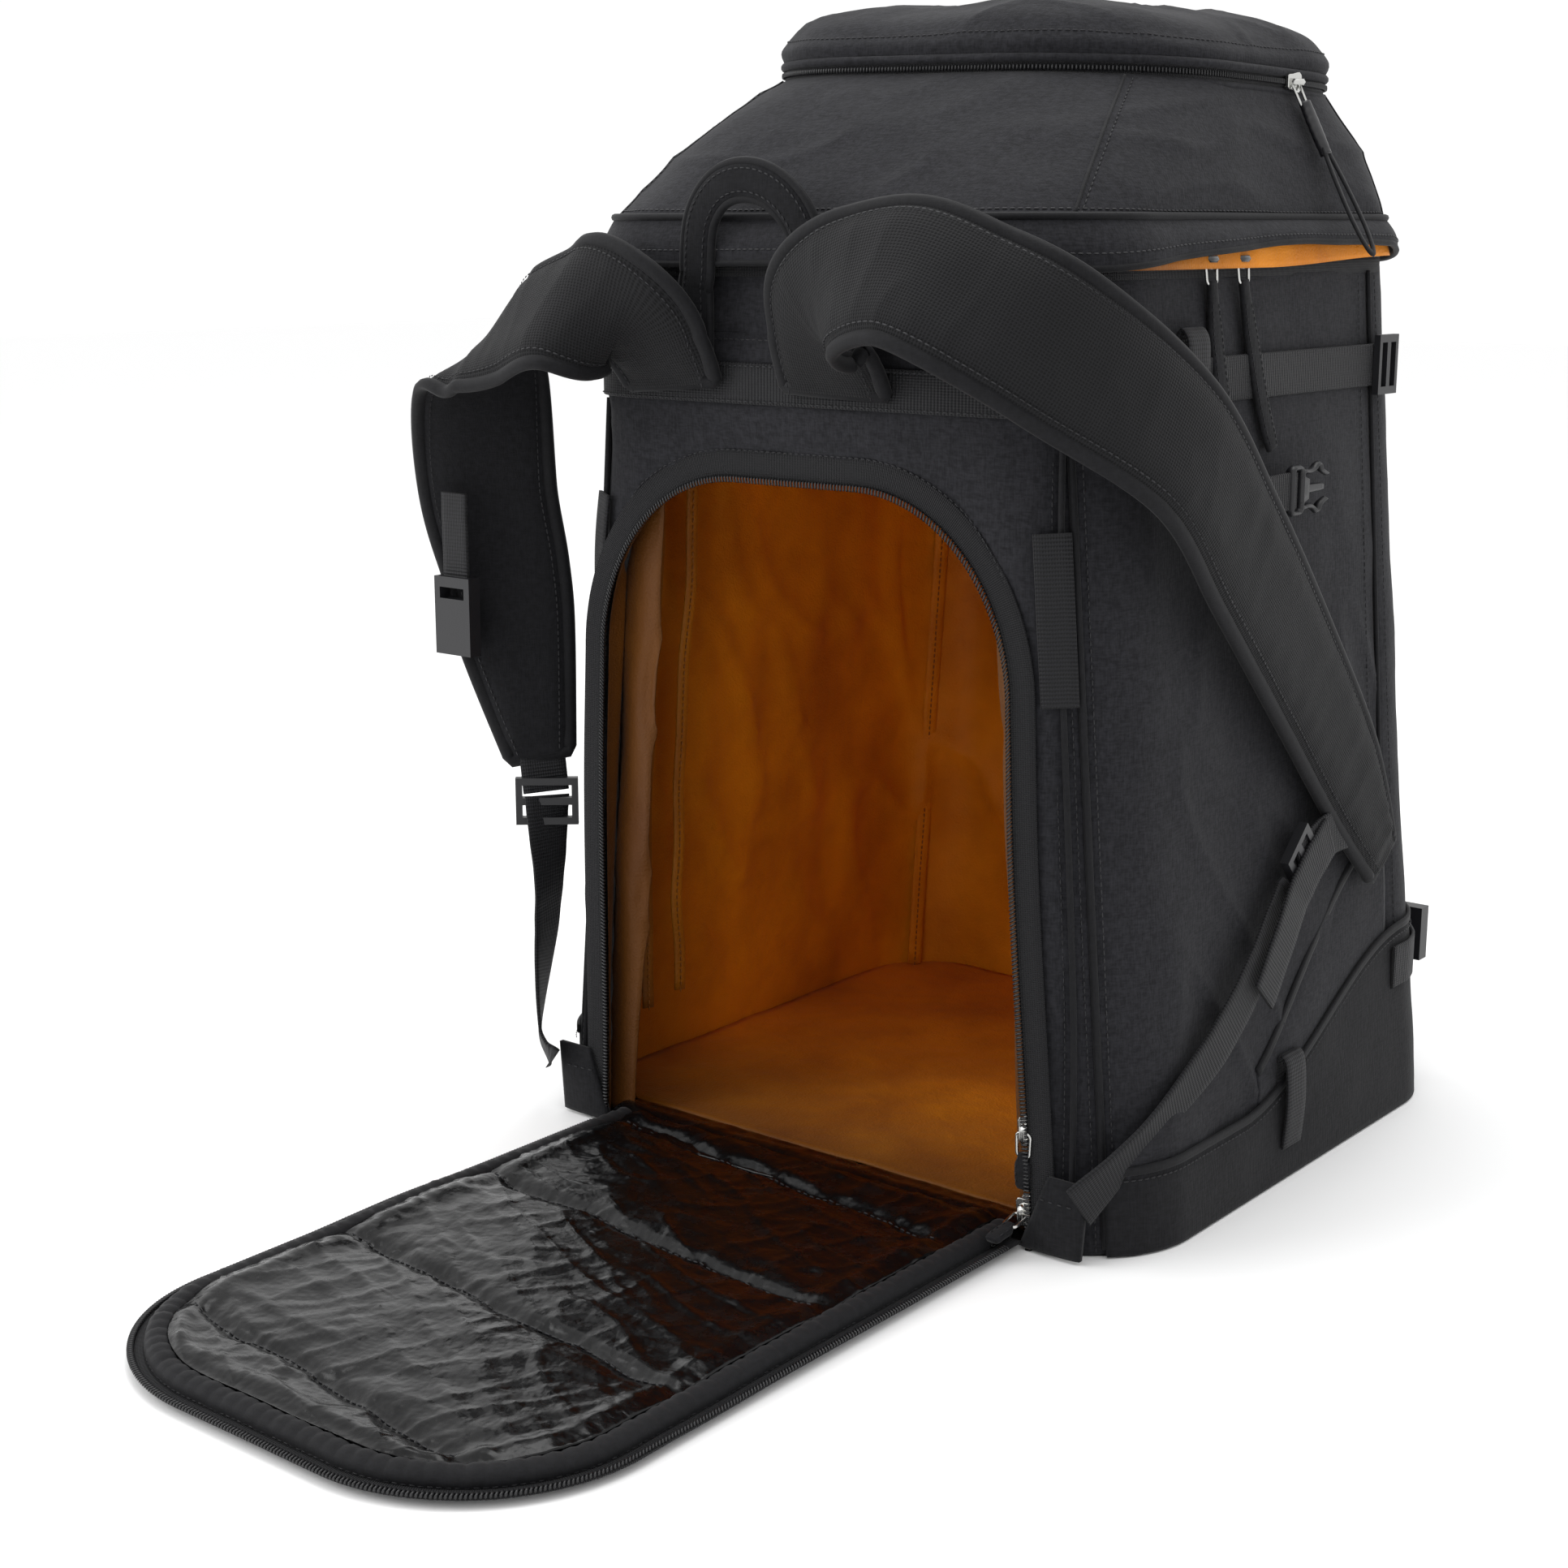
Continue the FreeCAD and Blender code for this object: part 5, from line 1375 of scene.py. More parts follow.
# sewn band across the back: a cloth panel with ribbed tape along its foot
def yokeCloth(u, v):
    x = mix(-1, 1, u) * (yokeHigh.x - 1)
    z = mix(yokeLow.z + 3, yokeHigh.z + 6, v)
    p, n = backPlace(x, z)
    edge = min(min(u, 1 - u) * 260, min(v, 1 - v) * 30)
    swell = 2.6 + 2.6 * seamFall(edge, 4) + cloth(p, 71, 1.0, 0.8, 0.3) * seamFall(edge, 4)
    return p + n * swell, n


yoke = makeSheet("yoke_cloth", 120, 14, yokeCloth, 3.0, canvas)
ride(yoke, "bag", "yoke_band")
tapeLine = []
tapeOuts = []
yokeRuns = [([], []), ([], []), ([], [])]
for step in range(120):
    p, n = backPlace(mix(-1, 1, step / 119) * (yokeHigh.x - 2), yokeLow.z + 9)
    wave = 0.8 * noise.noise(Vector((p.x / 22, 3, 1)))
    tapeLine.append(p + n * (6.2 + wave))
    tapeOuts.append(n)
    for (run, outs), lift in zip(yokeRuns, (-8.5, 8.5, 21)):
        run.append(p + n * ((7.2 if lift < 20 else 5.6) + wave) + Vector((0, 0, lift)))
        outs.append(n)
ride(sweep("yoke_tape", tapeLine, tapeOuts, flatOutline(20, 1.8, 6), webbing), "bag")
ride(makeStitches("yoke_stitches", yokeRuns, thread), "bag")


# ---- padded shoulder straps

def nodePath(stations):
    return curveThrough([Vector(place) for place in stations], 16)


def pairedDirections(stations, directions, path):
    coarse = [Vector(direction).normalized() for direction in directions]
    return [direction.normalized() for direction in curveThrough(coarse, 16)]


# Padded band: mesh on one face, cloth on the other, a bound edge with stitches.
# widths are the edge-to-edge sizes at each station; acrosses point along the width.
def makePad(name, stations, acrosses, widths, thick, meshOut, seed):
    path = nodePath(stations)
    sides = pairedDirections(stations, acrosses, path)
    wide = [v.x for v in curveThrough([Vector((w, 0, 0)) for w in widths], 16)]
    count = len(path)
    points = {"out": [], "in": []}
    uvs = []
    columns = 20
    rims = {1: [], -1: []}
    rimOuts = []
    lengths = pathLengths(path)
    for index, centre in enumerate(path):
        run = tangentAt(path, index)
        side = (sides[index] - run * sides[index].dot(run)).normalized()
        out = side.cross(run).normalized()
        end = min(lengths[index], lengths[-1] - lengths[index])
        slim = clamp(end / 14, 0.35, 1) ** 0.5
        for column in range(columns + 1):
            share = column / columns * 2 - 1
            fall = (1 - abs(share) ** 5) * slim
            flat = centre + side * (share * wide[index] / 2)
            wrinkle = 0.5 * noise.noise(Vector((lengths[index] / 20, share * 1.6, seed)))
            wrinkle += folds(Vector((share * 30, lengths[index], 0)), seed, Vector((60, 17, 9)), 0.7)
            points["out"].append(flat + out * ((thick / 2 + wrinkle) * fall + 0.5))
            points["in"].append(flat - out * ((thick / 2 + wrinkle * 0.7) * fall + 0.5))
            uvs.append((share * wide[index] / 2 * metre, lengths[index] * metre))
        for sign in (1, -1):
            rims[sign].append(centre + side * (sign * wide[index] / 2))
        rimOuts.append(out)
    wideCount = columns + 1
    faces = []
    for row in range(count - 1):
        for column in range(columns):
            a = row * wideCount + column
            faces.append((a, a + 1, a + 1 + wideCount, a + wideCount))
    total = len(points["out"])
    rimLoop = [column for column in range(wideCount)]
    rimLoop += [row * wideCount + columns for row in range(1, count)]
    rimLoop += [(count - 1) * wideCount + column for column in range(columns - 1, -1, -1)]
    rimLoop += [row * wideCount for row in range(count - 2, 0, -1)]
    allFaces = list(faces)
    allFaces += [tuple(total + number for number in reversed(face)) for face in faces]
    for number, a in enumerate(rimLoop):
        b = rimLoop[(number + 1) % len(rimLoop)]
        allFaces.append((b, a, total + a, total + b))
    pad = keepMesh(name, points["out"] + points["in"], allFaces, airMesh, uvs + uvs)
    pad.data.materials.append(padCloth)
    inner = range(len(faces), 2 * len(faces)) if meshOut else range(len(faces))
    for number in inner:
        pad.data.polygons[number].material_index = 1
    faceOutward(pad)
    loop = rims[1] + [p for p in reversed(rims[-1])]
    loopOuts = rimOuts + [out for out in reversed(rimOuts)]
    bound = sweep(name + "_binding", loop, loopOuts, [(x * 1.15, y * 0.9) for x, y in roundOutline(3.6, 10)],
                  binding, closed=True)
    stitchRuns = []
    for sign in (1, -1):
        for face in (1, -1):
            line = []
            for index, p in enumerate(rims[sign]):
                middle = (rims[1][index] + rims[-1][index]) / 2
                inward = (middle - p).normalized()
                line.append(p + inward * 5.0 + rimOuts[index] * (face * (thick / 2 * 0.86)))
            stitchRuns.append((line, [out * face for out in rimOuts]))
    stitches = makeStitches(name + "_stitches", stitchRuns, thread)
    return [pad, bound, stitches], path, rimOuts


rightStations = [
    (25, -182, 405), (26, -192, 424), (31, -205, 441), (58, -222, 456), (95, -228, 462), (129, -222, 450),
    (162, -200, 428), (189, -139, 385), (190, -80, 330), (187, -8, 262), (187, 50, 200), (188, 88, 150),
]
rightAcross = [
    (1, 0, 0), (1, -0.1, -0.05), (0.9, -0.25, -0.35), (0.5, -0.45, -0.7), (0.2, -0.5, -0.84),
    (0, -0.45, -0.9), (-0.2, -0.4, -0.9), (0, -0.67, -0.74), (0, -0.7, -0.7), (0, -0.74, -0.67),
    (0, -0.78, -0.6), (0, -0.8, -0.55),
]
rightWidths = [58, 60, 62, 65, 66, 66, 66, 66, 66, 62, 54, 30]
leftStations = [
    (-77, -182, 405), (-79, -192, 422), (-85, -206, 437), (-113, -219, 443), (-149, -215, 433),
    (-178, -206, 420), (-196, -197, 402), (-207, -184, 345), (-200, -179, 302), (-194, -178, 265), (-184, -172, 200),
]
leftAcross = [
    (1, 0, 0), (1, 0.1, 0.05), (0.9, 0.25, 0.35), (0.5, 0.45, 0.7), (0.2, 0.5, 0.84), (0.35, 0.55, 0.7),
    (0.5, 0.6, 0.5), (0.75, 0.65, 0), (0.75, 0.65, 0), (0.75, 0.65, 0), (0.75, 0.65, 0),
]
leftWidths = [58, 60, 62, 65, 66, 66, 66, 66, 61, 56, 32]
padThick = 11
for sideName, stations, acrosses, widths, seed in (
    ("right", rightStations, rightAcross, rightWidths, 81),
    ("left", leftStations, leftAcross, leftWidths, 82),
):
    things, path, outs = makePad(f"pad_{sideName}", stations, acrosses, widths, padThick, True, seed)
    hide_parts(f"shoulder_pad_{sideName}", f"strap_root_{sideName}")
    for thing in things:
        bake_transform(thing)
print("pads made")


# flat strap through places, turned so that its width points along the given directions
def makeStrap(name, stations, acrosses, width, thickness, material=None, perSpan=14, wave=0.5):
    path = nodePath(stations)
    sides = pairedDirections(stations, acrosses, path)
    path = curveThrough([Vector(place) for place in stations], 16)
    outs = []
    for index in range(len(path)):
        run = tangentAt(path, index)
        side = (sides[index] - run * sides[index].dot(run)).normalized()
        outs.append(side.cross(run).normalized())
    for index, out in enumerate(outs):
        path[index] = path[index] + out * (wave * noise.noise(Vector((index / 7, width, 2))))
    return sweep(name, path, outs, flatOutline(width, thickness, 6), material or webbing), path, outs


def centreOf(node):
    low, high = box(node)
    return (low + high) / 2


rightLock = centreOf("ladder_lock_right")
leftLock = centreOf("ladder_lock_left")
webRuns = []
strap, path, outs = makeStrap(
    "strap_webbing_right_cloth",
    [(189, -17, 156), (188, -24, 148), (193, -62, 118), (191, -100, 87), (182, -146, 56), (169, -179, 31)],
    [(0, 0.7, -0.7), (0, 0.68, -0.73), (0, 0.7, -0.7), (0, 0.75, -0.65), (-0.2, 0.6, -0.7), (0.1, 0.3, -0.9)],
    25, 1.9,
)
ride(strap, "strap_right", "strap_webbing_right")
# the end of the webbing is turned back through the lock and hangs beside the strap
tail, _, _ = makeStrap(
    "strap_tail_right", [(191, 20, 176), (192, 2, 166), (193, -16, 152), (196, -34, 136), (198, -58, 110)],
    [(0, 0.7, -0.7)] * 5, 24, 1.8,
)
ride(tail, "strap_right")
join, _, _ = makeStrap("strap_join_right", [(189, 92, 150), (189, 60, 172), (189.5, 28, 180), (189.5, 4, 168)],
                       [(0, -0.8, -0.55), (0, 0.2, -0.95), (0, 0.4, -0.9), (0, 0.7, -0.7)], 25, 2.0)
bpy.data.objects.remove(join)
strap, path, outs = makeStrap(
    "strap_webbing_left_cloth",
    [(-180, -171.5, 178), (-180, -171.5, 164), (-181, -170, 130), (-185, -170, 95), (-181, -180, 48), (-169, -183, 32)],
    [(0.5, 0.8, 0), (0.3, 0.9, 0), (-0.1, 1, 0), (-0.3, 1, 0), (-0.7, 0.7, 0), (-0.9, 0.3, 0.1)],
    25, 1.9,
)
ride(strap, "strap_left", "strap_webbing_left")
link, _, _ = makeStrap("strap_link_left", [(-184, -172, 212), (-182, -172, 196), (-180.5, -171.5, 180)],
                       [(0.75, 0.65, 0), (0.65, 0.75, 0), (0.65, 0.75, 0)], 25, 2.0)
ride(link, "strap_left")
link, _, _ = makeStrap("strap_link_right", [(188.5, 60, 176), (188.5, 26, 176), (188.8, 0, 170), (189, -10, 165)],
                       [(0, -0.75, -0.62), (0, -0.72, -0.68), (0, -0.7, -0.7), (0, -0.7, -0.7)], 25, 2.0)
ride(link, "strap_right")

# ---- haul handle: a doubled tape bent into an arch, its feet under the band
handleLow, handleHigh = box("haul_handle")
handlePath = []
handleHalf = (handleHigh.x - handleLow.x) / 2 - 9
handleY = (handleLow.y + handleHigh.y) / 2
for step in range(50):
    turn = math.pi * step / 49
    lean = 1 - 0.06 * math.cos(turn)
    x = harnessX - handleHalf * math.cos(turn) * lean
    z = mix(yokeHigh.z + 34, handleHigh.z - 9, math.sin(turn) ** 0.8)
    handlePath.append(Vector((x, handleY - 4 * math.sin(turn), z)))
foot = [Vector((harnessX - handleHalf * 1.02, handleY + 2, mix(yokeLow.z + 8, yokeHigh.z + 28, s / 9))) for s in range(10)]
otherFoot = [Vector((harnessX + handleHalf * 1.02, p.y, p.z)) for p in reversed(foot)]
handlePath = foot + handlePath + otherFoot
handlePath = resample(handlePath, 110)
for index, p in enumerate(handlePath):
    p.y += 0.7 * noise.noise(Vector((index / 9, 1, 1)))
handleThings = [
    sweep("handle_cloth", handlePath, outBack, flatOutline(17, 4.2, 6, 0.8), padCloth),
]
for sign in (1, -1):
    edgeLine = []
    stitchLine = []
    for index, p in enumerate(handlePath):
        run = tangentAt(handlePath, index)
        side = outBack.cross(run).normalized()
        edgeLine.append(p + side * (sign * 8.6))
        stitchLine.append(p + side * (sign * 5.4) + outBack * 2.7)
    handleThings.append(sweep(f"handle_edge_{sign}", edgeLine, outBack, roundOutline(2.2, 8), binding))
    handleThings.append(makeStitches(f"handle_stitches_{sign}", [(stitchLine, outBack)], thread))
hinge = Vector((harnessX, handleY, yokeHigh.z))
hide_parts("haul_handle")
for thing in handleThings:
    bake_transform(thing)


# ---- hard fittings: the moulded frames are the CAD shapes with softened edges
def finishNode(node, material, width=0.0006, segments=2):
    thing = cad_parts[node]
    thing.data.materials.clear()
    thing.data.materials.append(material)
    edge = thing.modifiers.new("soft_edges", "BEVEL")
    edge.width = width
    edge.segments = segments
    edge.limit_method = "ANGLE"
    thing.data.polygons.foreach_set("use_smooth", [False] * len(thing.data.polygons))
    return thing


for node in ("ladder_lock_right", "ladder_lock_left", "side_strap_bars", "front_buckle", "chest_buckle_left"):
    finishNode(node, acetal, 0.0007)


# Plugging half of a side-release buckle: a frame the webbing threads, a web, a middle tongue and
# two sprung arms with shoulders.
def makeBucklePlug(name, low, high):
    middle = (low + high) / 2
    half = (high.z - low.z) / 2
    out = Vector((1, 0, 0))

    def place(along, across):
        return Vector((middle.x, low.y + along, middle.z + across))

    corners = ((1.8, 3 - half), (1.8, half - 3), (3.5, half - 1.8), (10, half - 1.8), (12, half - 3.5),
               (12, 3.5 - half), (10, 1.8 - half), (3.5, 1.8 - half))
    ring = resample([place(along, across) for along, across in corners], 72, closed=True)
    things = [sweep(name + "_frame", ring, out, flatOutline(3.6, 5.4, 2), acetal, closed=True)]
    web = [place(along, 0) for along in (11, 13, 15, 17, 19)]
    things.append(sweep(name + "_web", web, out, flatOutline(17, 3.4, 3), acetal,
                        scaleAt=lambda share: 1 - 0.35 * share))
    tongue = [place(mix(17, 35, step / 9), 0) for step in range(10)]
    things.append(sweep(name + "_tongue", tongue, out, flatOutline(5, 3, 3), acetal,
                        scaleAt=lambda share: 1 - 0.3 * share ** 3))
    for side in (1, -1):
        bends = ((11, 6.5), (15, 9), (20, 8.6), (25, 9.4), (28.5, 11.6), (31, 11.4), (33, 8.6), (39, 6.4))
        arm = curveThrough([place(along, side * across) for along, across in bends], 5)
        things.append(sweep(f"{name}_arm_{side}", arm, out, flatOutline(3.0, 4.6, 2), acetal))
    return joinAll(name, things)


low, high = box("chest_buckle_right")
ride(makeBucklePlug("chest_buckle_plug", low, high), "chest_strap_right", "chest_buckle_right")

# short chest webbings
low, high = box("chest_webbing_right")
web, _, _ = makeStrap(
    "chest_web_right", [(high.x - 1, low.y - 16, high.z - 4), (high.x - 1, low.y + 4, (low.z + high.z) / 2),
                        (high.x - 1, high.y - 4, (low.z + high.z) / 2), (high.x - 1, high.y + 8, (low.z + high.z) / 2)],
    [(0, 0, -1)] * 4, 19, 1.7)
ride(web, "chest_strap_right", "chest_webbing_right")
low, high = box("chest_webbing_left")
middleX = (low.x + high.x) / 2
web, _, _ = makeStrap(
    "chest_web_left", [(middleX, high.y - 1, high.z + 4), (middleX, high.y - 1, high.z - 15), (middleX, high.y - 1, low.z - 4)],
    [(1, 0, 0)] * 3, 19, 1.7)
ride(web, "chest_strap_left", "chest_webbing_left")
print("harness made")

# ---- straps, loops and pockets on the outside

def wallStrap(name, side, first, last, z, width, lift, node=None, thickness=1.9, steps=80, sag=0.0):
    line = []
    outs = []
    for step in range(steps):
        turn = mix(first, last, step / (steps - 1))
        p, n = bodyPlace(side * turn, z)
        wave = 0.5 * noise.noise(Vector((turn * 6, side, z)))
        line.append(p + n * (lift + wave) + Vector((0, 0, -sag * math.sin(math.pi * step / (steps - 1)))))
        outs.append(n)
    return sweep(name, line, outs, flatOutline(width, thickness, 6), webbing)


strapLow, strapHigh = box("side_straps")
strapZ = (strapLow.z + strapHigh.z) / 2
sideStraps = []
sideRuns = []
for side in (1, -1):
    first, last = turnAtSide(-149, strapZ) - 0.0, turnAtSide(129, strapZ)
    sideStraps.append(wallStrap(f"side_strap_{side}", side, max(first, 1.55), last, strapZ, 22, 2.6))
    # its sewn end is boxed with stitches
    for lift in (-9, 9):
        run = []
        outs = []
        for step in range(12):
            p, n = bodyPlace(side * mix(1.56, 1.75, step / 11), strapZ)
            run.append(p + n * 3.9 + Vector((0, 0, lift)))
            outs.append(n)
        sideRuns.append((run, outs))
ride(joinAll("side_strap_webbing", sideStraps), "bag", "side_straps")
ride(makeStitches("side_strap_stitches", sideRuns, thread), "bag")

# folded loops: a tape that stands off the wall and turns back to it
loopLow = box("loop_tabs")
loops = []
for side in (1, -1):
    for y, low, long in ((-11, 15, 52), (-85, 400, 34)):
        corners = []
        for off, z in ((1.9, low), (1.9, low + long * 0.5), (2.6, low + long - 5), (5.2, low + long), (8.4, low + long - 5),
                       (8.0, low + long * 0.5), (4.4, low + 3)):
            corners.append(Vector((side * (halfAt(z) + off), y, z)))
        line = curveThrough(corners, 6)
        outs = [tangentAt(line, step).cross(Vector((0, side, 0))) for step in range(len(line))]
        loops.append(sweep(f"loop_{side}_{y}", line, outs, flatOutline(20, 1.7, 4), webbing))
ride(joinAll("loop_tab_webbing", loops), "bag", "loop_tabs")

# loose webbing ends that hang from the gusset seam
tailLow, tailHigh = box("webbing_tails")
tails = []
for side in (1, -1):
    line = []
    outs = []
    for step in range(30):
        z = mix(tailHigh.z + 18, tailLow.z, step / 29)
        p, n = bodyPlace(side * 1.36, z)
        line.append(p + n * (4.2 + 1.0 * math.sin(step / 6)))
        outs.append(n)
    tails.append(sweep(f"tail_{side}", line, outs, flatOutline(18, 1.8, 4), webbing))
ride(joinAll("tail_webbing", tails), "bag", "webbing_tails")

# three-cornered cloth tabs that take the strap webbing at the foot of the back
anchorLow, anchorHigh = box("strap_anchor_tabs")
tabs = []
tabRuns = []
for side in (1, -1):
    def tabCloth(u, v, side=side):
        wide = mix(34, 22, v)
        x = anchorHigh.x - 2 - wide * (1 - u) + 3 * v
        z = mix(2, 40, v)
        p = Vector((side * x, backY - 3.0 - 2.2 * math.sin(math.pi * u) ** 0.5 * math.sin(math.pi * min(v + 0.15, 1)) ** 0.5, z))
        return p, Vector((0, -1, 0))
    tabs.append(makeSheet(f"tab_{side}", 14, 14, tabCloth, 2.6, denier))
    run = [tabCloth(share, 0.7)[0] + outBack * 0.3 for share in (0.1, 0.3, 0.5, 0.7, 0.9)]
    tabRuns.append((run, outBack))
ride(joinAll("anchor_tab_cloth", tabs), "bag", "strap_anchor_tabs")
ride(makeStitches("anchor_stitches", tabRuns, thread), "bag")


# flat pocket between the guard and a bound edge that climbs forwards
pocketSkins = []
pocketEdges = []
for side, node in ((1, "side_pocket_right"), (-1, "side_pocket_left")):
    low, high = box(node)

    def pocketCloth(u, v, side=side, low=low, high=high):
        y = mix(low.y, high.y, u)
        bottom = guardTop(y, 2.5) + 0.5
        top = mix(bottom + 18, high.z, u ** 1.2)
        z = mix(bottom, top, v)
        p, n = bodyPlace(side * turnAtSide(y, z), z)
        edge = min(v, 1 - v) * (top - bottom)
        return p + n * (1.8 + 1.6 * seamFall(edge, 8) + cloth(p, 91, 0.8, 0.4) * seamFall(edge, 6)), n

    skin = makeSheet(f"pocket_skin_{side}", 60, 20, pocketCloth, 1.6, canvas)
    ride(skin, "bag", node)
    line = [pocketCloth(step / 40, 1.0)[0] for step in range(41)]
    pocketEdges.append(sweep(f"pocket_edge_{side}", line, Vector((side, 0, 0)), flatOutline(6, 2.6, 3), binding))
ride(joinAll("side_pocket_binding", pocketEdges), "bag")

# front pocket: a shallow box of cloth with bound edges
pocketLow, pocketHigh = box("front_pocket")


def frontPocketCloth(u, v):
    z = mix(pocketLow.z, pocketHigh.z, v)
    half = pocketHigh.x
    x = mix(-half, half, u)
    depth = pocketHigh.y - frontAt(pocketLow.z)
    edge = min(min(u, 1 - u) * 2 * half, min(v, 1 - v) * (pocketHigh.z - pocketLow.z))
    rise = depth * (1 - (1 - clamp(edge / 16)) ** 2.4)
    p = Vector((x, frontAt(z) + 1.5 + rise, z))
    over = max(abs(x) - (halfAt(z) - cornerRadius), 0)
    p.y -= (cornerRadius - math.sqrt(max(cornerRadius ** 2 - over ** 2, 1))) * 0.9
    return p + Vector((0, cloth(p, 95, 2.4, 1.0) * clamp(edge / 30), 0)), Vector((0, 1, 0))


frontPocket = makeSheet("front_pocket_cloth", 90, 110, frontPocketCloth, 2.0, canvas)
ride(frontPocket, "bag", "front_pocket")
rim = []
for a, b in (((0, 0), (1, 0)), ((1, 0), (1, 1)), ((1, 1), (0, 1)), ((0, 1), (0, 0))):
    for step in range(40):
        u, v = mix(a[0], b[0], step / 40), mix(a[1], b[1], step / 40)
        rim.append(frontPocketCloth(clamp(u, 0.02, 0.98), clamp(v, 0.015, 0.985))[0] + Vector((0, 0.6, 0)))
ride(sweep("front_pocket_piping", rim, Vector((0, 1, 0)), roundOutline(2.0, 8), binding, closed=True), "bag")

# its upright zip
zipLow, zipHigh = box("front_pocket_zip")
zipMiddle = Vector((zipHigh.x, (zipLow.y + zipHigh.y) / 2, 0))
line = [Vector((zipMiddle.x - 0.8, zipMiddle.y, mix(zipLow.z, zipHigh.z, step / 39))) for step in range(40)]
ride(sweep("front_zip_tape", line, Vector((1, 0, 0)), flatOutline(13, 1.4, 3), tape), "bag")
line = [p + Vector((0.6, -1.3, 0)) for p in line]
ride(makeTeeth("front_zip_coil", line, Vector((1, 0, 0)), Vector((0, 1, 0)), coil, reach=2.6, thick=0.6),
     "bag", "front_pocket_zip")

# strap round the front corner to its buckle
frontLow, frontHigh = box("front_strap")
line = []
outs = []
for step in range(60):
    turn = mix(2.95, 4.05, step / 59)
    p, n = bodyPlace(turn, (frontLow.z + frontHigh.z) / 2)
    line.append(p + n * (4.6 + 0.4 * noise.noise(Vector((turn * 7, 0, 0)))))
    outs.append(n)
ride(sweep("front_strap_webbing", line, outs, flatOutline(24, 1.9, 6), webbing), "bag", "front_strap")
print("outside made")

# ---- zip sliders and pulls

def localFrame(along, out):
    along = Vector(along).normalized()
    out = Vector(out).normalized()
    return along, out.cross(along).normalized(), out


# Slider: a waisted plate with a bridge, built along the zip and out from it.
def makeSliderBody(name, centre, along, out, lift, material, slotWrapped):
    along, across, out = localFrame(along, out)
    profile = [(-7, 2.8), (-5.8, 3.6), (-2, 3.9), (2, 4.7), (5, 5.0), (6.6, 4.2), (7, 3.0)]
    points = []
    faces = []
    layers = [(lift - 1.7, 1.0), (lift - 0.2, 1.0), (lift + 0.15, 0.9)]
    if slotWrapped:
        layers = [(-lift - 0.1, 0.9), (-lift + 0.2, 1.0), (-1.9, 1.0), (-1.6, 0.35), (1.6, 0.35), (1.9, 1.0)] + layers[1:]
    for height, share in layers:
        for x, half in profile:
            points.append(centre + along * (x * (0.96 if share < 1 else 1)) + across * (half * share) + out * height)
        for x, half in reversed(profile):
            points.append(centre + along * (x * (0.96 if share < 1 else 1)) - across * (half * share) + out * height)
    ring = 2 * len(profile)
    for layer in range(len(layers) - 1):
        for number in range(ring):
            a = layer * ring + number
            b = layer * ring + (number + 1) % ring
            faces.append((a, b, b + ring, a + ring))
    faces.append(tuple(range(ring)))
    faces.append(tuple(reversed(range((len(layers) - 1) * ring, len(layers) * ring))))
    body = faceOutward(keepMesh(name, points, faces, material, shade=False))
    arch = [centre + along * x + out * (lift + h) for x, h in ((-4.4, -0.3), (-4.2, 2.2), (-2.8, 3.6), (0, 3.9), (2.8, 3.6), (4.2, 2.2), (4.4, -0.3))]
    bridge = sweep(name + "_bridge", curveThrough(arch, 5), across, flatOutline(1.6, 3.0, 2), material)
    return joinAll(name, [body, bridge])


# Wire link: a rounded rectangle of bent wire hanging from the slider.
def makeLink(name, pin, down, side, long, half, radius, material):
    down = Vector(down).normalized()
    side = Vector(side).normalized()
    corner = []
    for x, y in ((-half, 0.8), (-half * 0.9, long - 1.2), (-half * 0.4, long), (half * 0.4, long), (half * 0.9, long - 1.2),
                 (half, 0.8), (half * 0.5, -0.4), (-half * 0.5, -0.4)):
        corner.append(pin + side * x + down * y)
    path = resample(corner, 48, closed=True)
    for _ in range(2):
        path = [(path[i - 1] + path[i] * 2 + path[(i + 1) % len(path)]) / 4 for i in range(len(path))]
    return sweep(name, path, side.cross(down), roundOutline(radius, 8), material, closed=True)


# Pull: nickel link, then a doubled tape that narrows, with a stitched end.
def makeTapePull(name, body, node, pin, down, side, long, width, material=None, lean=0):
    down = Vector(down).normalized()
    side = Vector(side).normalized()
    out = side.cross(down).normalized()
    link = makeLink(name + "_link", pin, down, side, 12, width * 0.44, 0.8, nickel)
    line = []
    for step in range(40):
        share = step / 39
        bend = 0.8 * math.sin(share * 5 + long) * share
        line.append(pin + down * (10 + share * (long - 10)) + out * bend + side * (lean * share ** 1.4))
    shape = lambda share: 0.62 + 0.38 * smooth((share - 0.05) / 0.3) if share < 0.9 else 1.0 - 0.25 * smooth((share - 0.9) / 0.1)
    strip = sweep(name + "_tape", line, out, flatOutline(width, 2.4, 5, 0.4), material or denier, scaleAt=shape)
    runs = []
    for sign in (1, -1):
        for face in (1, -1):
            edge = [p + side * (sign * width * 0.34 * shape(i / 39)) + out * (face * 1.5) for i, p in enumerate(line)][6:]
            runs.append((edge, out * face))
    sewn = makeStitches(name + "_stitches", runs, thread, 3.0, 2.2, 0.35)
    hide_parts(node)
    for thing in (link, strip, sewn):
        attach(thing, body)
    return strip


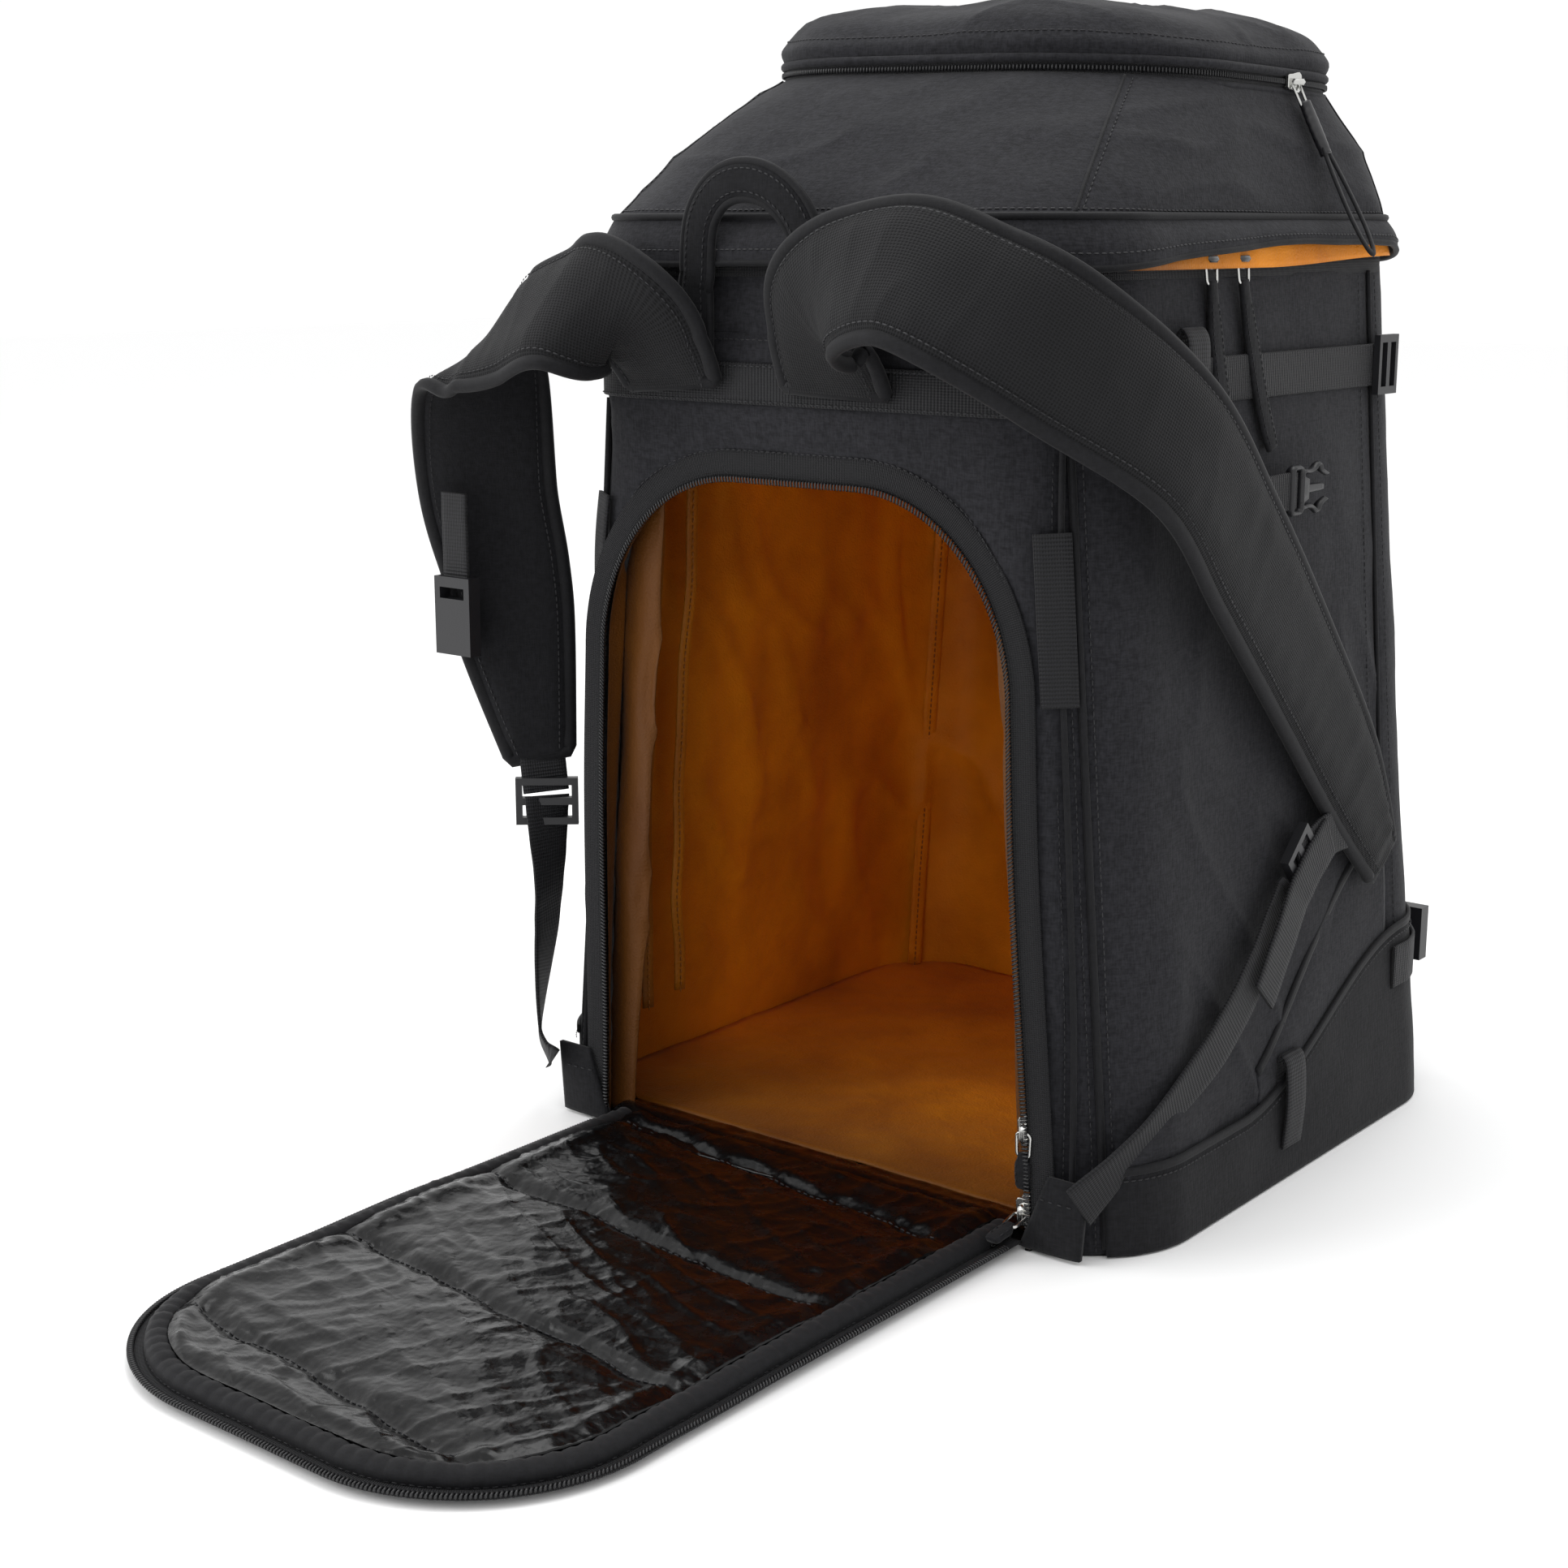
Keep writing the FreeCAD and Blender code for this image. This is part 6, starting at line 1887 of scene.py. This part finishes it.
doorX = (box("door_slider_upper")[0].x + box("door_slider_upper")[1].x) / 2
chainY = backY + 4.25
for level in ("upper", "lower"):
    low, high = box(f"door_slider_{level}")
    centre = Vector((doorX, chainY, (low.z + high.z) / 2))
    slider = makeSliderBody(f"door_slider_{level}_metal", centre, (0, 0, 1), (0, -1, 0), 3.4, nickel, True)
    ride(slider, f"{level}_door_slider", f"door_slider_{level}")
    pin = centre + Vector((0, -5.4, 0))
    low, high = box(f"door_pull_{level}")
    down = (0, 0, -1) if level == "upper" else (0, -0.978, -0.208)
    long = 28 if level == "upper" else 26
    makeTapePull(f"door_{level}", f"{level}_door_pull", f"door_pull_{level}", pin, down, (1, 0, 0), long, 9)

for place in ("rear", "front"):
    low, high = box(f"lid_slider_{place}")
    centre = Vector((rimHalf - 1.75, (low.y + high.y) / 2, (low.z + high.z) / 2))
    slider = makeSliderBody(f"lid_slider_{place}_metal", centre, (0, 1, 0), (1, 0, 0), 3.4, enamel, True)
    ride(slider, f"{place}_lid_slider", f"lid_slider_{place}")
    low, high = box(f"lid_pull_{place}")
    pin = centre + Vector((4.8, 0, 0))
    hang = Vector((high.x - 1.1 - pin.x, 0, low.z - pin.z))
    forward = 8 if place == "rear" else 22
    makeTapePull(f"lid_{place}", f"{place}_lid_pull", f"lid_pull_{place}", pin, hang, (0, 1, 0),
                 hang.length, 12, lean=forward)

low, high = box("pocket_slider")
centre = Vector((ringHalf + 1.3, (low.y + high.y) / 2, (low.z + high.z) / 2))
slider = makeSliderBody("pocket_slider_metal", centre + Vector((2.2, 0, 0.8)), (0, 1, 0), (1, 0, 0), 1.9, nickel, False)
ride(slider, "top_pocket_slider", "pocket_slider")
low, high = box("pocket_pull")
pin = centre + Vector((4.3, 0, 0))
lean = Vector((high.x - 1.0 - pin.x, 0, low.z - pin.z))
grip = lean.normalized()
link = makeLink("pocket_link", pin, grip, (0, 1, 0), 13, 4.0, 0.8, nickel)
ride(link, "top_pocket_pull")
gripLine = [pin + grip * (11 + step) + Vector((0.6, 0, 0.4)) for step in range(0, 30)]
moulded = sweep("pocket_grip", gripLine, Vector((1, 0, 0.4)), [(x, y * 0.62) for x, y in roundOutline(4.6, 12)], acetal,
                scaleAt=lambda share: 0.72 + 0.28 * math.sin(math.pi * clamp(share * 1.1)) + 0.05 * math.sin(share * 40))
ride(moulded, "top_pocket_pull", "pocket_pull")
# flat cord loop that hangs from the grip
loopPath = []
for step in range(60):
    turn = 2 * math.pi * step / 60
    spread = 5.5 * math.sin(turn) * (1 - 0.35 * math.cos(turn))
    drop = 30 * (1 - math.cos(turn))
    loopPath.append(pin + grip * (34 + drop) + Vector((1.5 + 0.04 * drop, spread, 0)))
ride(sweep("pocket_cord_loop", loopPath, Vector((1, 0, 0.4)), flatOutline(3.6, 1.3, 2), binding, closed=True), "top_pocket_pull")

low, high = box("front_slider")
centre = Vector((zipMiddle.x, (low.y + high.y) / 2, (low.z + high.z) / 2))
slider = makeSliderBody("front_slider_metal", centre, (0, 0, 1), (1, 0, 0), 2.2, nickel, False)
ride(slider, "front_pocket_slider", "front_slider")
low, high = box("front_pull")
pin = centre + Vector((4.3, 0, 0))
makeTapePull("front", "front_pocket_pull", "front_pull", pin, (0.04, 0, -1), (0, 1, 0), pin.z - low.z, 9)
print("sliders made")

# ---- studio

floorMesh = bpy.data.meshes.new("studio_floor")
floorMesh.from_pydata([(-9, -9, 0), (9, -9, 0), (9, 9, 0), (-9, 9, 0)], [], [(0, 1, 2, 3)])
paleFloor = makePlain("pale_floor", "#fbfbfb", 0.9)
floorMesh.materials.append(paleFloor)
studioFloor = bpy.data.objects.new("studio_floor", floorMesh)
scene.collection.objects.link(studioFloor)
studioFloor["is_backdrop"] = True

scene.view_settings.view_transform = "Standard"
# white studio all round
world = bpy.data.worlds.new("studio")
scene.world = world
world.use_nodes = True
world.node_tree.nodes["Background"].inputs["Color"].default_value = (1, 1, 1, 1)
world.node_tree.nodes["Background"].inputs["Strength"].default_value = 1.03


def addLight(name, place, target, wide, power):
    light = bpy.data.lights.new(name, "AREA")
    light.shape = "RECTANGLE"
    light.size = wide[0]
    light.size_y = wide[1]
    light.energy = power
    lamp = bpy.data.objects.new(name, light)
    scene.collection.objects.link(lamp)
    lamp.location = place
    lamp.rotation_euler = (Vector(target) - Vector(place)).to_track_quat("-Z", "Y").to_euler()
    return lamp


addLight("left_light", (-1.6, -1.8, 1.4), (0, 0, 0.25), (1.6, 1.6), 26)
addLight("top_light", (0.0, 0.2, 2.4), (0, 0, 0.4), (1.4, 1.4), 22)

lens = bpy.data.cameras.new("camera")
lens.lens = 56.07
lens.sensor_width = 36
camera = bpy.data.objects.new("camera", lens)
scene.collection.objects.link(camera)
camera.location = (0.734, -1.102, 0.480)
camera.rotation_euler = (math.radians(90 - 12.84), 0, math.radians(38.8))
scene.camera = camera

low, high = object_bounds()
